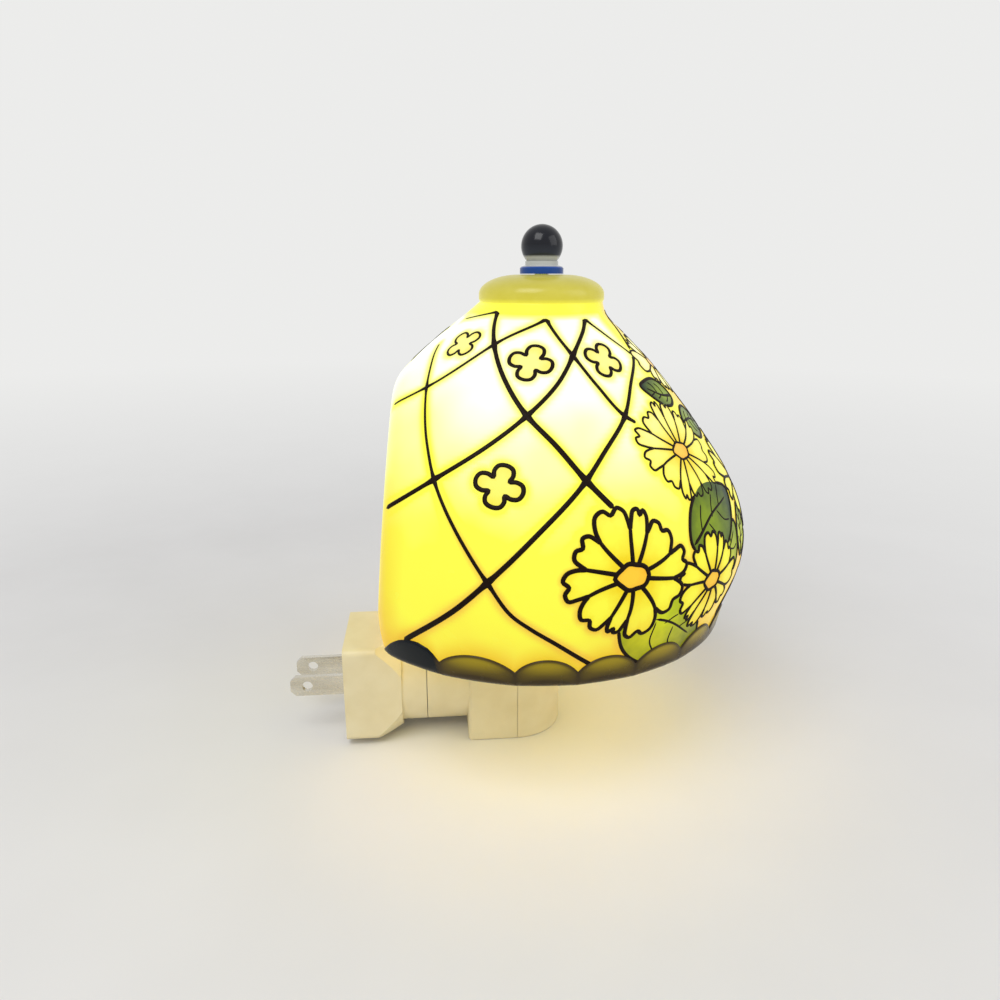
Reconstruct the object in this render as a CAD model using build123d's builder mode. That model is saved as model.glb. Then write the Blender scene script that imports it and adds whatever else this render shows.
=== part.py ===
from build123d import *
import math
import os

os.makedirs("parts", exist_ok=True)

# A plug-in night light. The origin is the middle of the plug's face, where it meets the outlet.
# X runs away from the outlet, Z is up, and Y runs to the side. All sizes are millimetres.

# Fits
slip = 0.05             # radial room round a shaft that turns in its bore
running = 0.2           # room between faces that slide past each other
easy = 0.3              # room round a piece that only has to clear its neighbour
seam = 0.1              # open joint between two shells

# Plug: a square block on the outlet that runs down to a round neck
plug_side = 30.0
plug_corner = 2.0
plug_straight = 9.5
plug_taper = 7.5
plug_shoulder_r = 16.0
plug_wall = 2.8
neck_r = 14.7
neck_length = 7.5
neck_wall = 2.3
neck_end_wall = 3.9
neck_recess_depth = 1.4
cover_thick = 3.0
cover_lip = 2.0
post_r = 1.6
post_from_blade = 5.0
boss_sink = 1.0

# Two flat blades with their retention holes, at the standard pitch
blade_pitch = 12.7
blade_width = 6.3
blade_thick = 1.5
blade_reach = 17.0
blade_tip = 1.6
blade_hole_r = 1.6
blade_hole_from_face = 11.9
blade_foot_thick = 1.05
blade_foot_length = 2.9

# Contacts that feed the lamp through the turning neck
carrier_thick = 3.0
ring_inner_r = 6.5
ring_outer_r = 9.5
ring_thick = 0.6
pin_head_r = 2.0
pin_head_thick = 0.8
pin_shank_r = 1.0
strap_thick = 0.6
strap_width = 3.0
strip_thick = 0.5
wiper_width = 2.0
wiper_room = 3.1
wiper_disc_thick = 3.6
wiper_disc_r = 11.0
tail_inset = 0.6        # the wipers' tails, inside the nipple's bore
centre_fold_r = 8.0
ring_fold_r = 5.4
ring_foot_half = 1.1
wire_r = 0.6
wire_bend = 2.0

# Screws
screw_r = 1.2
screw_head_r = 2.3
screw_head_thick = 1.4
screw_length = 8.6
boss_wall = 1.7

# Swivel: a threaded nipple that ties the neck to the lamp and lets it turn
nipple_r = 5.0
nipple_bore_r = 3.8
nipple_flange_r = 8.6
nipple_thread_end = 1.3
bush_wall = 1.5
bush_flange = 1.2
bush_flange_r = 9.5
wave_height = 1.1
wave_r = 8.8
clip_thick = 1.0
clip_r = 7.0
clip_groove = 0.5
lock_nut_flats = 14.0
lock_nut_thick = 3.0

# Holder block: two shells that meet in the plane of the lamp's axis
collar_length = 12.3
collar_r = 14.7
collar_wall = 2.4
bulkhead_thick = 3.0
block_straight = 15.0
block_half_width = 15.0
block_depth = 16.9
block_rise = 19.6
block_wall = 2.0
block_corner = 1.2
shelf_thick = 2.0
shelf_hole_r = 6.0
low_screw_z = -11.6
high_screw_y = 6.5
high_screw_z = 8.6
screw_head_seat = 4.0   # from the parting plane to the screw heads

# Rocker switch in the far side of the block
switch_back = 7.0       # from the lamp's axis back to the rocker
switch_z = -2.0
switch_width = 10.0
switch_height = 15.0
switch_depth = 9.0
switch_wall = 1.0
switch_rim = 1.0
switch_rim_thick = 1.0
rocker_width = 7.5
rocker_half_length = 5.8
rocker_pivot_r = 1.0
rocker_pivot_depth = 1.6
rocker_tilt = 8.0
rocker_rise = 3.6
rocker_dish = 1.0
rocker_skirt = 0.6
rocker_belly = 1.6
rocker_belly_half = 2.2
nub_reach = 3.2
nub_half = 1.2
bridge_thick = 0.5
bridge_half_length = 4.4
terminal_pitch = 4.2
terminal_width = 2.4
terminal_reach = 1.8

# Candle lampholder for a small screw base
socket_r = 9.0
socket_flange_r = 10.9
socket_flange_thick = 3.9
socket_rim_z = 53.0
socket_floor_z = 33.0
socket_floor_thick = 2.0
socket_wire_bore_r = 4.2
shell_r = 6.6
shell_wall = 0.4
shell_inner_ring_r = 2.4
rivet_r = 0.7
contact_half = 1.5
sleeve_r = 11.0
sleeve_gap = 0.2
sleeve_above_rim = 1.5
lock_ring_r = 12.2
lock_ring_thick = 3.5
lock_ring_grips = 12
lock_ring_grip_r = 1.2

# Bulb: small pear-shaped night bulb on a 12 mm screw cap
bulb_tip_z = 38.0
bulb_tip_r = 1.9
bulb_cap_r = 5.9
bulb_cap_wall = 0.35
bulb_cap_height = 12.8
bulb_thread_pitch = 2.54
bulb_thread_depth = 0.4
bulb_thread_start = 0.6
bulb_tip_height = 1.2
bulb_insulator_height = 1.9
bulb_solder = 0.4
bulb_length = 54.0
bulb_max_r = 11.0
bulb_neck_r = 4.9
glass_thick = 0.7
glass_seat = 1.0        # from the cap's bottom up to the glass
glass_shoulder = 0.6    # from the cap's rim up to where the glass widens
stem_r = 2.4
stem_height = 8.0
stem_flare = 2.0
stem_pinch = 1.5
filament_wire_r = 0.25
filament_bend = 1.0
filament_half_span = 4.5
filament_half_root = 1.0
filament_rise = 14.0
filament_leg = 3.0

# Shade bracket: one bent steel strip behind the bulb, with a stud for the finial
strip_width = 9.0
strip_gauge = 1.2
strip_bend = 4.0
strip_back = 28.6       # from the lamp's axis back to the upright
strip_knee_z = 86.0
strip_drop = 8.0        # from the arm down to where the slope starts
strip_step = 3.0
slope_inset = 4.8       # from the cap's bore in to where the slope ends
strip_ring_r = 12.6
stud_r = 1.95
stud_length = 17.5
stud_nut_flats = 7.0
stud_nut_thick = 3.0
stud_below_nut = 0.6
pad_r = 7.0
pad_thick = 0.8
bumper_r = 4.0
bumper_z = 60.0

# Porcelain shade: a level circle at each height, cut by a leaning flat back
cap_x = 59.7            # the finial's axis
rim_z = 23.6
shade_wall = 3.0
mouth_overlap = 1.0     # how far the hollow is cut below the rim
# each ring is its height above the rim, then how far it reaches in front of and behind cap_x
shade_rings = [
    (0.0, 54.4, 57.6),
    (8.4, 56.3, 59.8),
    (14.6, 58.5, 60.7),
    (22.4, 60.3, 61.3),
    (32.4, 59.3, 60.7),
    (42.4, 55.1, 58.3),
    (53.8, 47.5, 53.0),
    (65.4, 38.6, 45.4),
    (75.9, 29.6, 35.3),
    (83.1, 22.3, 26.7),
    (87.0, 18.6, 21.6),
    (90.0, 17.7, 18.1),
]
back_at_rim = 48.4      # from the finial's axis back to the flat, carried down to the rim
back_lean = 5.1         # degrees
back_tuck = 2.0         # how far the rim draws in behind
back_tuck_height = 14.0
cap_r = 17.6
cap_skirt = 2.3
cap_rise = 7.6
cap_seat_r = 6.4
cap_bore_r = 14.4
cap_ceiling = 5.7
cap_overlap = 1.0       # how far the cap reaches down into the wall
stud_hole_r = 2.6
hem_rise = 0.45
hem_top = 8.4           # from the rim up to the top of an arch
hem_valley = 4.4        # from the rim up to where two arches meet
hem_corner_span = 22.0  # degrees that the arch next to the flat back takes
hem_next_span = 20.0
hem_front_arches = 13

# Finial: silicone washer, banded white collar, dark knob on a brass insert
finial_washer_r = 5.0
finial_washer_thick = 0.5
finial_collar_r = 6.1
finial_collar_height = 3.4
finial_band_height = 1.9
finial_band_slope = 0.4
finial_neck_r = 4.6
knob_r = 5.8
knob_height = 9.8
insert_r = 3.1
insert_length = 6.5

# Stations along X, from the outlet face outwards
ledge_x = plug_straight
taper_x = ledge_x + plug_taper
neck_x = taper_x + neck_length
wall_x = neck_x - neck_end_wall
recess_x = neck_x - neck_recess_depth
bush_x = wall_x - bush_flange
wave_x = bush_x - wave_height
clip_x = wave_x - clip_thick
wiper_x = ledge_x + wiper_room
wiper_end_x = wiper_x + wiper_disc_thick
nipple_x = wiper_x + wiper_disc_thick / 2
collar_x = neck_x + running
bulkhead_x = collar_x + bulkhead_thick
lock_nut_end_x = bulkhead_x + lock_nut_thick
nipple_end_x = lock_nut_end_x + nipple_thread_end
block_x = collar_x + collar_length
lamp_x = block_x + block_straight
carrier_x = ledge_x - carrier_thick
foot_x = cover_thick + blade_foot_thick
blade_y = blade_pitch / 2
foot_y = blade_y + blade_thick / 2 + blade_foot_length
feed_y = (blade_y + blade_thick / 2 + foot_y) / 2

# Stations along Z
block_top = block_rise
socket_z = block_top - block_wall - socket_flange_thick
strip_z = block_top + slip
strip_mid_z = strip_z + strip_gauge / 2
lock_ring_z = strip_z + strip_gauge
lock_ring_top = lock_ring_z + lock_ring_thick
sleeve_z = lock_ring_top + slip
shell_z = socket_floor_z + socket_floor_thick
cap_z = rim_z + shade_rings[-1][0]
cap_top = cap_z + cap_rise
ceiling_z = cap_top - cap_ceiling
pad_z = ceiling_z - running - pad_thick
plate_z = pad_z - strip_gauge


def turned_along_x(*outline):
    """A piece turned about the swivel's axis, from (x, radius) corners."""
    with BuildPart() as piece:
        with BuildSketch(Plane.XZ):
            with BuildLine():
                Polyline(*outline, close=True)
            make_face()
        revolve(axis=Axis.X)
    return piece


def turned_upright(axis_x, *outline):
    """A piece turned about the upright line at axis_x, from (radius, height) corners."""
    with BuildPart() as piece:
        with BuildSketch(Plane.XZ):
            with BuildLine():
                Polyline(*[(axis_x + r, z) for r, z in outline], close=True)
            make_face()
        revolve(axis=Axis((axis_x, 0, 0), (0, 0, 1)))
    return piece


def rod_x(x0, x1, radius, y=0.0, z=0.0, mode=Mode.ADD):
    """A round rod or hole along X in the piece being built."""
    with Locations((x0, y, z)):
        Cylinder(
            radius,
            x1 - x0,
            rotation=(0, 90, 0),
            align=(Align.CENTER, Align.CENTER, Align.MIN),
            mode=mode,
        )


def rod_z(z0, z1, radius, x, y=0.0, mode=Mode.ADD):
    """A round rod or hole along Z in the piece being built."""
    with Locations((x, y, z0)):
        Cylinder(radius, z1 - z0, align=(Align.CENTER, Align.CENTER, Align.MIN), mode=mode)


def wire(*points):
    """An insulated lead through its points, with rounded corners."""
    with BuildPart() as lead:
        with BuildLine():
            route = FilletPolyline(*points, radius=wire_bend)
        with BuildSketch(Plane(origin=route @ 0, z_dir=route % 0)):
            Circle(wire_r)
        sweep()
    return lead


# Plug: outlet cover
cover_side = plug_side - 2 * cover_lip
screw_corner = plug_side / 2 - plug_wall - boss_wall - screw_r + easy
plug_screw_spots = [(screw_corner, -screw_corner), (-screw_corner, screw_corner)]
post_z = blade_width / 2 + post_from_blade

with BuildPart() as outlet_cover:
    with BuildSketch(Plane.YZ):
        RectangleRounded(cover_side - 2 * slip, cover_side - 2 * slip, plug_corner / 2)
    extrude(amount=cover_thick)
    with BuildSketch(Plane.YZ):
        with Locations((blade_y, 0), (-blade_y, 0)):
            Rectangle(blade_thick + 2 * slip, blade_width + 2 * slip)
    extrude(amount=cover_thick, mode=Mode.SUBTRACT)
    for y, z in plug_screw_spots:
        rod_x(0, cover_thick, screw_r + slip, y, z, Mode.SUBTRACT)
        rod_x(0, screw_head_thick + easy, screw_head_r + easy, y, z, Mode.SUBTRACT)
    for z in (post_z, -post_z):
        rod_x(cover_thick, carrier_x, post_r, 0, z)

# Plug: moulded body, square at the outlet and round at the neck
corner_reach = (plug_side / 2 - plug_corner) * math.sqrt(2) + plug_corner + slip
plug_bore = plug_side - 2 * plug_wall
neck_bore_r = neck_r - neck_wall
bush_r = nipple_r + slip + bush_wall

with BuildPart() as plug_body:
    with BuildSketch(Plane.YZ):
        RectangleRounded(plug_side, plug_side, plug_corner)
    extrude(amount=taper_x)
    with BuildSketch(Plane.XZ):
        with BuildLine():
            Polyline(
                (0, 0),
                (0, corner_reach),
                (ledge_x, corner_reach),
                (taper_x, plug_shoulder_r),
                (taper_x, 0),
                close=True,
            )
        make_face()
    revolve(axis=Axis.X, mode=Mode.INTERSECT)
    rod_x(taper_x, neck_x, neck_r)
    with BuildSketch(Plane.YZ):
        RectangleRounded(cover_side, cover_side, plug_corner / 2)
    extrude(amount=cover_thick, mode=Mode.SUBTRACT)
    with BuildSketch(Plane.YZ.offset(cover_thick)):
        RectangleRounded(plug_bore, plug_bore, plug_corner / 2)
    extrude(amount=ledge_x - cover_thick, mode=Mode.SUBTRACT)
    rod_x(ledge_x, wall_x, neck_bore_r, mode=Mode.SUBTRACT)
    rod_x(wall_x, recess_x, bush_r + slip, mode=Mode.SUBTRACT)
    rod_x(recess_x, neck_x, nipple_flange_r + easy, mode=Mode.SUBTRACT)
    for y, z in plug_screw_spots:
        rod_x(cover_thick, ledge_x + boss_sink, screw_r + boss_wall, y, z)
        rod_x(cover_thick, ledge_x, screw_r + slip, y, z, Mode.SUBTRACT)

with BuildPart() as plug_screws:
    for y, z in plug_screw_spots:
        rod_x(easy / 2, easy / 2 + screw_head_thick, screw_head_r, y, z)
        rod_x(easy / 2, ledge_x - easy, screw_r, y, z)


def blade(side):
    """One brass blade: a flat tongue with a hole, and a foot bent outwards inside the plug."""
    with BuildPart() as piece:
        with BuildSketch(Plane.XZ.offset(-side * blade_y)):
            with BuildLine():
                Polyline(
                    (foot_x, blade_width / 2),
                    (blade_tip - blade_reach, blade_width / 2),
                    (-blade_reach, blade_width / 2 - blade_tip),
                    (-blade_reach, blade_tip - blade_width / 2),
                    (blade_tip - blade_reach, -blade_width / 2),
                    (foot_x, -blade_width / 2),
                    close=True,
                )
            make_face()
            with Locations((-blade_hole_from_face, 0)):
                Circle(blade_hole_r, mode=Mode.SUBTRACT)
        extrude(amount=blade_thick / 2, both=True)
        with BuildSketch(Plane.YZ.offset(cover_thick)):
            with Locations((side * (blade_y + foot_y) / 2, 0)):
                Rectangle(foot_y - blade_y, blade_width)
        extrude(amount=blade_foot_thick)
    return piece


blade_line = blade(-1)
blade_neutral = blade(1)

# Contact carrier: insulating plate between the cover's posts and the body's ledge
with BuildPart() as contact_carrier:
    with BuildSketch(Plane.YZ.offset(carrier_x)):
        RectangleRounded(plug_bore - 2 * slip, plug_bore - 2 * slip, plug_corner / 2)
        with Locations(*plug_screw_spots):
            Circle(screw_r + boss_wall + easy, mode=Mode.SUBTRACT)
        with Locations((feed_y, 0)):
            Circle(pin_shank_r + slip, mode=Mode.SUBTRACT)
        Circle(pin_shank_r + slip, mode=Mode.SUBTRACT)
    extrude(amount=carrier_thick)

with BuildPart() as ring_contact:
    rod_x(ledge_x, ledge_x + ring_thick, ring_outer_r)
    rod_x(ledge_x, ledge_x + ring_thick, ring_inner_r, mode=Mode.SUBTRACT)
    rod_x(foot_x, ledge_x, pin_shank_r, y=feed_y)

pin_face_x = ledge_x + pin_head_thick
with BuildPart() as pin_contact:
    with BuildSketch(Plane.YZ.offset(foot_x)):
        with Locations((-(foot_y - pin_shank_r) / 2, 0)):
            Rectangle(foot_y + pin_shank_r, strap_width)
    extrude(amount=strap_thick)
    rod_x(foot_x, ledge_x, pin_shank_r)
    rod_x(ledge_x, pin_face_x, pin_head_r)

# Swivel: bush in the neck's end wall, nipple through it, wave washer and clip behind
neck_bush = turned_along_x(
    (recess_x, nipple_r + slip),
    (recess_x, bush_r),
    (wall_x, bush_r),
    (wall_x, bush_flange_r),
    (bush_x, bush_flange_r),
    (bush_x, nipple_r + slip),
)

clip_seat_x = clip_x - slip
swivel_nipple = turned_along_x(
    (nipple_x, nipple_bore_r),
    (nipple_end_x, nipple_bore_r),
    (nipple_end_x, nipple_r),
    (collar_x, nipple_r),
    (collar_x, nipple_flange_r),
    (recess_x + running, nipple_flange_r),
    (recess_x + running, nipple_r),
    (wave_x + slip, nipple_r),
    (wave_x + slip, nipple_r - clip_groove),
    (clip_seat_x, nipple_r - clip_groove),
    (clip_seat_x, nipple_r),
    (nipple_x, nipple_r),
)

wave_washer = turned_along_x(
    (wave_x + slip, nipple_r + easy),
    (wave_x + slip, wave_r),
    (bush_x - running, wave_r),
    (bush_x - running, nipple_r + easy),
)

with BuildPart() as swivel_clip:
    rod_x(clip_x, wave_x, clip_r)
    rod_x(clip_x, wave_x, nipple_r - clip_groove + slip, mode=Mode.SUBTRACT)
    with BuildSketch(Plane.YZ.offset(clip_x)):
        with Locations((0, -clip_r)):
            Rectangle(nipple_r, 2 * clip_r - nipple_r)
    extrude(amount=clip_thick, mode=Mode.SUBTRACT)

with BuildPart() as lock_nut:
    with BuildSketch(Plane.YZ.offset(bulkhead_x)):
        RegularPolygon(lock_nut_flats / 2, 6, major_radius=False)
        Circle(nipple_r + slip, mode=Mode.SUBTRACT)
    extrude(amount=lock_nut_thick)

# Wipers: they turn with the lamp and ride on the plug's ring and pin
tail_z = nipple_bore_r - tail_inset
wiper_bore_r = math.hypot(tail_z, wiper_width / 2) + slip
with BuildPart() as wiper_disc:
    rod_x(wiper_x, wiper_end_x, wiper_disc_r)
    rod_x(wiper_x, nipple_x, wiper_bore_r, mode=Mode.SUBTRACT)
    rod_x(nipple_x, wiper_end_x, nipple_r + slip, mode=Mode.SUBTRACT)


def wiper(*outline):
    """A folded brass strip, from its (x, z) outline."""
    with BuildPart() as piece:
        with BuildSketch(Plane.XZ):
            with BuildLine():
                Polyline(*outline, close=True)
            make_face()
        extrude(amount=wiper_width / 2, both=True)
    return piece


tail_x = nipple_x + tail_inset
foot_face_x = wiper_x - strip_thick
pin_touch_x = pin_face_x + running
ring_touch_x = ledge_x + ring_thick + running
ring_mid_r = (ring_inner_r + ring_outer_r) / 2
centre_wiper = wiper(
    (tail_x, tail_z),
    (wiper_x, tail_z),
    (wiper_x, centre_fold_r + strip_thick),
    (foot_face_x, centre_fold_r + strip_thick),
    (pin_touch_x, pin_head_r / 2),
    (pin_touch_x, -pin_head_r / 2),
    (pin_touch_x + strip_thick, -pin_head_r / 2),
    (pin_touch_x + strip_thick, pin_head_r / 2),
    (foot_face_x, centre_fold_r - strip_thick),
    (foot_face_x, tail_z - strip_thick),
    (tail_x, tail_z - strip_thick),
)
ring_wiper = wiper(
    (tail_x, -tail_z),
    (wiper_x, -tail_z),
    (wiper_x, -ring_fold_r),
    (ring_touch_x + strip_thick, ring_foot_half - ring_mid_r),
    (ring_touch_x + strip_thick, -ring_foot_half - ring_mid_r),
    (ring_touch_x, -ring_foot_half - ring_mid_r),
    (ring_touch_x, ring_foot_half - ring_mid_r),
    (foot_face_x, strip_thick / 2 - ring_fold_r),
    (foot_face_x, strip_thick - tail_z),
    (tail_x, strip_thick - tail_z),
)

# Holder block: the outer form and hollow that both shells share
block_bottom = -block_depth
shelf_z = socket_z - shelf_thick
switch_x = lamp_x - switch_back
screw_spots = [(0.0, low_screw_z), (high_screw_y, high_screw_z)]
boss_r = screw_r + boss_wall
nose_head_x = lamp_x + screw_head_seat
nose_hollow_r = block_half_width - block_wall


def block_outline(inset, back):
    """The block seen from above: straight sides and a half-round nose."""
    half = block_half_width - inset
    with BuildSketch() as plan:
        with Locations(((back + lamp_x) / 2, 0)):
            Rectangle(lamp_x - back, 2 * half)
        with Locations((lamp_x, 0)):
            Circle(half)
    return plan


def holder_block():
    """Both halves of the block as one hollow box, with its shelf and the lampholder's hole."""
    with BuildPart() as block:
        with BuildSketch(Plane.XY.offset(block_bottom)):
            add(block_outline(0, block_x).sketch)
        extrude(amount=block_top - block_bottom)
        fillet(block.edges().filter_by(Axis.Z).group_by(Axis.X)[0], block_corner)
        fillet(block.faces().sort_by(Axis.Z)[0].edges(), block_corner / 2)
        fillet(block.faces().sort_by(Axis.Z)[-1].edges(), block_corner / 2)
        with BuildSketch(Plane.XY.offset(block_bottom + block_wall)):
            add(block_outline(block_wall, block_x + block_wall).sketch)
        extrude(amount=shelf_z - block_bottom - block_wall, mode=Mode.SUBTRACT)
        rod_z(shelf_z, socket_z, shelf_hole_r, lamp_x, mode=Mode.SUBTRACT)
        rod_z(socket_z, block_top - block_wall, socket_flange_r + slip, lamp_x, mode=Mode.SUBTRACT)
        rod_z(socket_z, block_top, socket_r + slip, lamp_x, mode=Mode.SUBTRACT)
    return block


shared_block = holder_block()
half_seam = seam / 2

with BuildPart() as holder_rear:
    add(shared_block.part)
    split(bisect_by=Plane.YZ.offset(lamp_x - half_seam), keep=Keep.BOTTOM)
    rod_x(collar_x, block_x + block_wall, collar_r)
    rod_x(bulkhead_x, block_x + block_wall, collar_r - collar_wall, mode=Mode.SUBTRACT)
    rod_x(collar_x, bulkhead_x, nipple_r + slip, mode=Mode.SUBTRACT)
    for y, z in screw_spots:
        rod_x(block_x + block_wall, lamp_x - half_seam, boss_r, y, z)
        rod_x(lamp_x - screw_length, lamp_x, screw_r + slip, y, z, Mode.SUBTRACT)
    with Locations((switch_x, block_half_width - block_wall / 2, switch_z)):
        Box(
            switch_width + 2 * slip,
            2 * block_wall,
            switch_height + 2 * slip,
            mode=Mode.SUBTRACT,
        )

with BuildPart() as holder_front:
    add(shared_block.part)
    split(bisect_by=Plane.YZ.offset(lamp_x + half_seam), keep=Keep.TOP)
    for y, z in screw_spots:
        wall_here_x = lamp_x + math.sqrt(nose_hollow_r**2 - (abs(y) + boss_r / 2) ** 2)
        rod_x(lamp_x + half_seam, wall_here_x, boss_r, y, z)
        rod_x(lamp_x, nose_head_x, screw_r + slip, y, z, Mode.SUBTRACT)
        rod_x(nose_head_x, lamp_x + block_half_width, screw_head_r + slip, y, z, Mode.SUBTRACT)

with BuildPart() as holder_screws:
    for y, z in screw_spots:
        rod_x(lamp_x + easy - screw_length, nose_head_x, screw_r, y, z)
        rod_x(nose_head_x, nose_head_x + screw_head_thick, screw_head_r, y, z)

# Rocker switch: case through the wall, rocker on two pivots, bridge and two terminals
case_face_y = block_half_width
case_floor_y = case_face_y - switch_depth
pivot_y = case_face_y - rocker_pivot_depth

with BuildPart() as switch_case:
    with Locations((switch_x, (case_floor_y + case_face_y) / 2, switch_z)):
        Box(switch_width, switch_depth, switch_height)
    with Locations((switch_x, case_face_y + switch_rim_thick / 2, switch_z)):
        Box(switch_width + 2 * switch_rim, switch_rim_thick, switch_height + 2 * switch_rim)
    fillet(switch_case.faces().sort_by(Axis.Y)[-1].edges(), switch_rim_thick / 2)
    open_depth = switch_depth + switch_rim_thick - switch_wall
    with Locations((switch_x, case_floor_y + switch_wall + open_depth / 2, switch_z)):
        Box(
            switch_width - 2 * switch_wall,
            open_depth,
            switch_height - 2 * switch_wall,
            mode=Mode.SUBTRACT,
        )
    rod_x(
        switch_x - switch_width / 2,
        switch_x + switch_width / 2,
        rocker_pivot_r + slip,
        pivot_y,
        switch_z,
        Mode.SUBTRACT,
    )
    for z in (switch_z, switch_z + terminal_pitch):
        with Locations((switch_x, case_floor_y + switch_wall / 2, z)):
            Box(terminal_width + 2 * slip, 2 * switch_wall, strap_thick + 2 * slip, mode=Mode.SUBTRACT)

tilt = math.radians(rocker_tilt)
rocker_plane = Plane(
    origin=(switch_x, pivot_y, switch_z),
    x_dir=(0, math.cos(tilt), math.sin(tilt)),
    z_dir=(1, 0, 0),
)
with BuildPart() as switch_rocker:
    with BuildSketch(rocker_plane):
        with BuildLine():
            top_left = (rocker_rise, -rocker_half_length)
            top_right = (rocker_rise, rocker_half_length)
            ThreePointArc(top_left, (rocker_rise - rocker_dish, 0), top_right)
            Polyline(
                top_right,
                (-rocker_skirt, rocker_half_length),
                (-rocker_belly, rocker_belly_half),
                (-nub_reach, nub_half),
                (-nub_reach, -nub_half),
                (-rocker_belly, -rocker_belly_half),
                (-rocker_skirt, -rocker_half_length),
                top_left,
            )
        make_face()
    extrude(amount=rocker_width / 2, both=True)
    with BuildSketch(rocker_plane):
        Circle(rocker_pivot_r)
    extrude(amount=switch_width / 2 - easy, both=True)

with BuildPart() as switch_bridge:
    with BuildSketch(rocker_plane):
        with Locations((-nub_reach - bridge_thick / 2, 0)):
            Rectangle(bridge_thick, 2 * bridge_half_length)
    extrude(amount=strap_width / 2, both=True)

bridge_y = pivot_y - (nub_reach + bridge_thick) * math.cos(tilt)
bridge_drop = (terminal_pitch + strap_thick / 2 + bridge_thick) * math.sin(tilt)
terminal_end_y = case_floor_y - terminal_reach
with BuildPart() as switch_terminals:
    for z, top_y in (
        (switch_z, bridge_y - running),
        (switch_z + terminal_pitch, bridge_y - bridge_drop - running),
    ):
        with Locations((switch_x, (terminal_end_y + top_y) / 2, z)):
            Box(terminal_width, top_y - terminal_end_y, strap_thick)

# Lampholder: insulating body, brass screw shell, sprung centre contact
socket_body = turned_upright(
    lamp_x,
    (socket_wire_bore_r, socket_z),
    (socket_flange_r, socket_z),
    (socket_flange_r, socket_z + socket_flange_thick),
    (socket_r, socket_z + socket_flange_thick),
    (socket_r, socket_rim_z),
    (shell_r + slip, socket_rim_z),
    (shell_r + slip, shell_z),
    (0, shell_z),
    (0, socket_floor_z),
    (socket_wire_bore_r, socket_floor_z),
)
feed_hole_y = -(shell_inner_ring_r + rivet_r)
with BuildPart() as lamp_socket:
    add(socket_body.part)
    rod_z(socket_floor_z, shell_z, rivet_r + slip, lamp_x, mode=Mode.SUBTRACT)
    rod_z(socket_floor_z, shell_z, rivet_r + slip, lamp_x, feed_hole_y, Mode.SUBTRACT)

shell_cup = turned_upright(
    lamp_x,
    (shell_inner_ring_r, shell_z),
    (shell_r, shell_z),
    (shell_r, socket_rim_z - easy),
    (shell_r - shell_wall, socket_rim_z - easy),
    (shell_r - shell_wall, shell_z + shell_wall),
    (shell_inner_ring_r, shell_z + shell_wall),
)
with BuildPart() as screw_shell:
    add(shell_cup.part)
    rod_z(socket_floor_z, shell_z, rivet_r, lamp_x, feed_hole_y)

contact_top = bulb_tip_z - running
with BuildPart() as centre_contact:
    with BuildSketch(Plane.XZ):
        with BuildLine():
            Polyline(
                (lamp_x - contact_half, shell_z),
                (lamp_x + contact_half, shell_z),
                (lamp_x + contact_half, shell_z + strip_thick),
                (lamp_x - contact_half / 2, shell_z + strip_thick),
                (lamp_x + contact_half, contact_top - strip_thick),
                (lamp_x + contact_half, contact_top),
                (lamp_x + contact_half / 2, contact_top),
                (lamp_x - contact_half, shell_z + 2 * strip_thick),
                close=True,
            )
        make_face()
    extrude(amount=wiper_width / 2, both=True)
    rod_z(socket_floor_z, shell_z, rivet_r, lamp_x)

with BuildPart() as lock_ring:
    rod_z(lock_ring_z, lock_ring_top, lock_ring_r, lamp_x)
    rod_z(lock_ring_z, lock_ring_top, socket_r + slip, lamp_x, mode=Mode.SUBTRACT)
    with BuildSketch(Plane.XY.offset(lock_ring_z)):
        with Locations((lamp_x, 0)):
            with PolarLocations(lock_ring_r + lock_ring_grip_r / 2, lock_ring_grips):
                Circle(lock_ring_grip_r)
    extrude(amount=lock_ring_thick, mode=Mode.SUBTRACT)

sleeve_top = socket_rim_z + sleeve_above_rim
candle_sleeve = turned_upright(
    lamp_x,
    (socket_r + sleeve_gap, sleeve_z),
    (sleeve_r, sleeve_z),
    (sleeve_r, sleeve_top),
    (socket_r + sleeve_gap, sleeve_top),
)

# Leads inside the lamp, from the wipers to the switch and the lampholder
shell_side_y = -block_half_width / 2
switch_side_y = terminal_end_y - 2 * wire_bend
lead_tail_z = tail_z - strip_thick / 2
lead_switch = wire(
    (tail_x, 0, lead_tail_z),
    (nipple_end_x + wire_bend, 0, lead_tail_z),
    (block_x + wire_bend, switch_side_y, switch_z),
    (switch_x, switch_side_y, switch_z),
    (switch_x, terminal_end_y, switch_z),
)
lead_shell = wire(
    (tail_x, 0, -lead_tail_z),
    (nipple_end_x + wire_bend, 0, -lead_tail_z),
    (block_x + 2 * wire_bend, shell_side_y, -wire_bend / 2),
    (lamp_x - wire_bend, shell_side_y, shelf_z - 3 * wire_bend),
    (lamp_x, feed_hole_y, socket_z),
    (lamp_x, feed_hole_y, socket_floor_z),
)
lead_contact = wire(
    (switch_x, terminal_end_y, switch_z + terminal_pitch),
    (switch_x, -2 * wire_r, switch_z + terminal_pitch),
    (lamp_x - wire_bend, -2 * wire_r, shelf_z - 2.5 * wire_bend),
    (lamp_x, 0, socket_z),
    (lamp_x, 0, socket_floor_z),
)

# Bulb
insulator_z = bulb_tip_z + bulb_tip_height
bulb_cap_z = insulator_z + bulb_insulator_height
bulb_cap_top = bulb_cap_z + bulb_cap_height
bulb_top = bulb_tip_z + bulb_length

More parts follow.
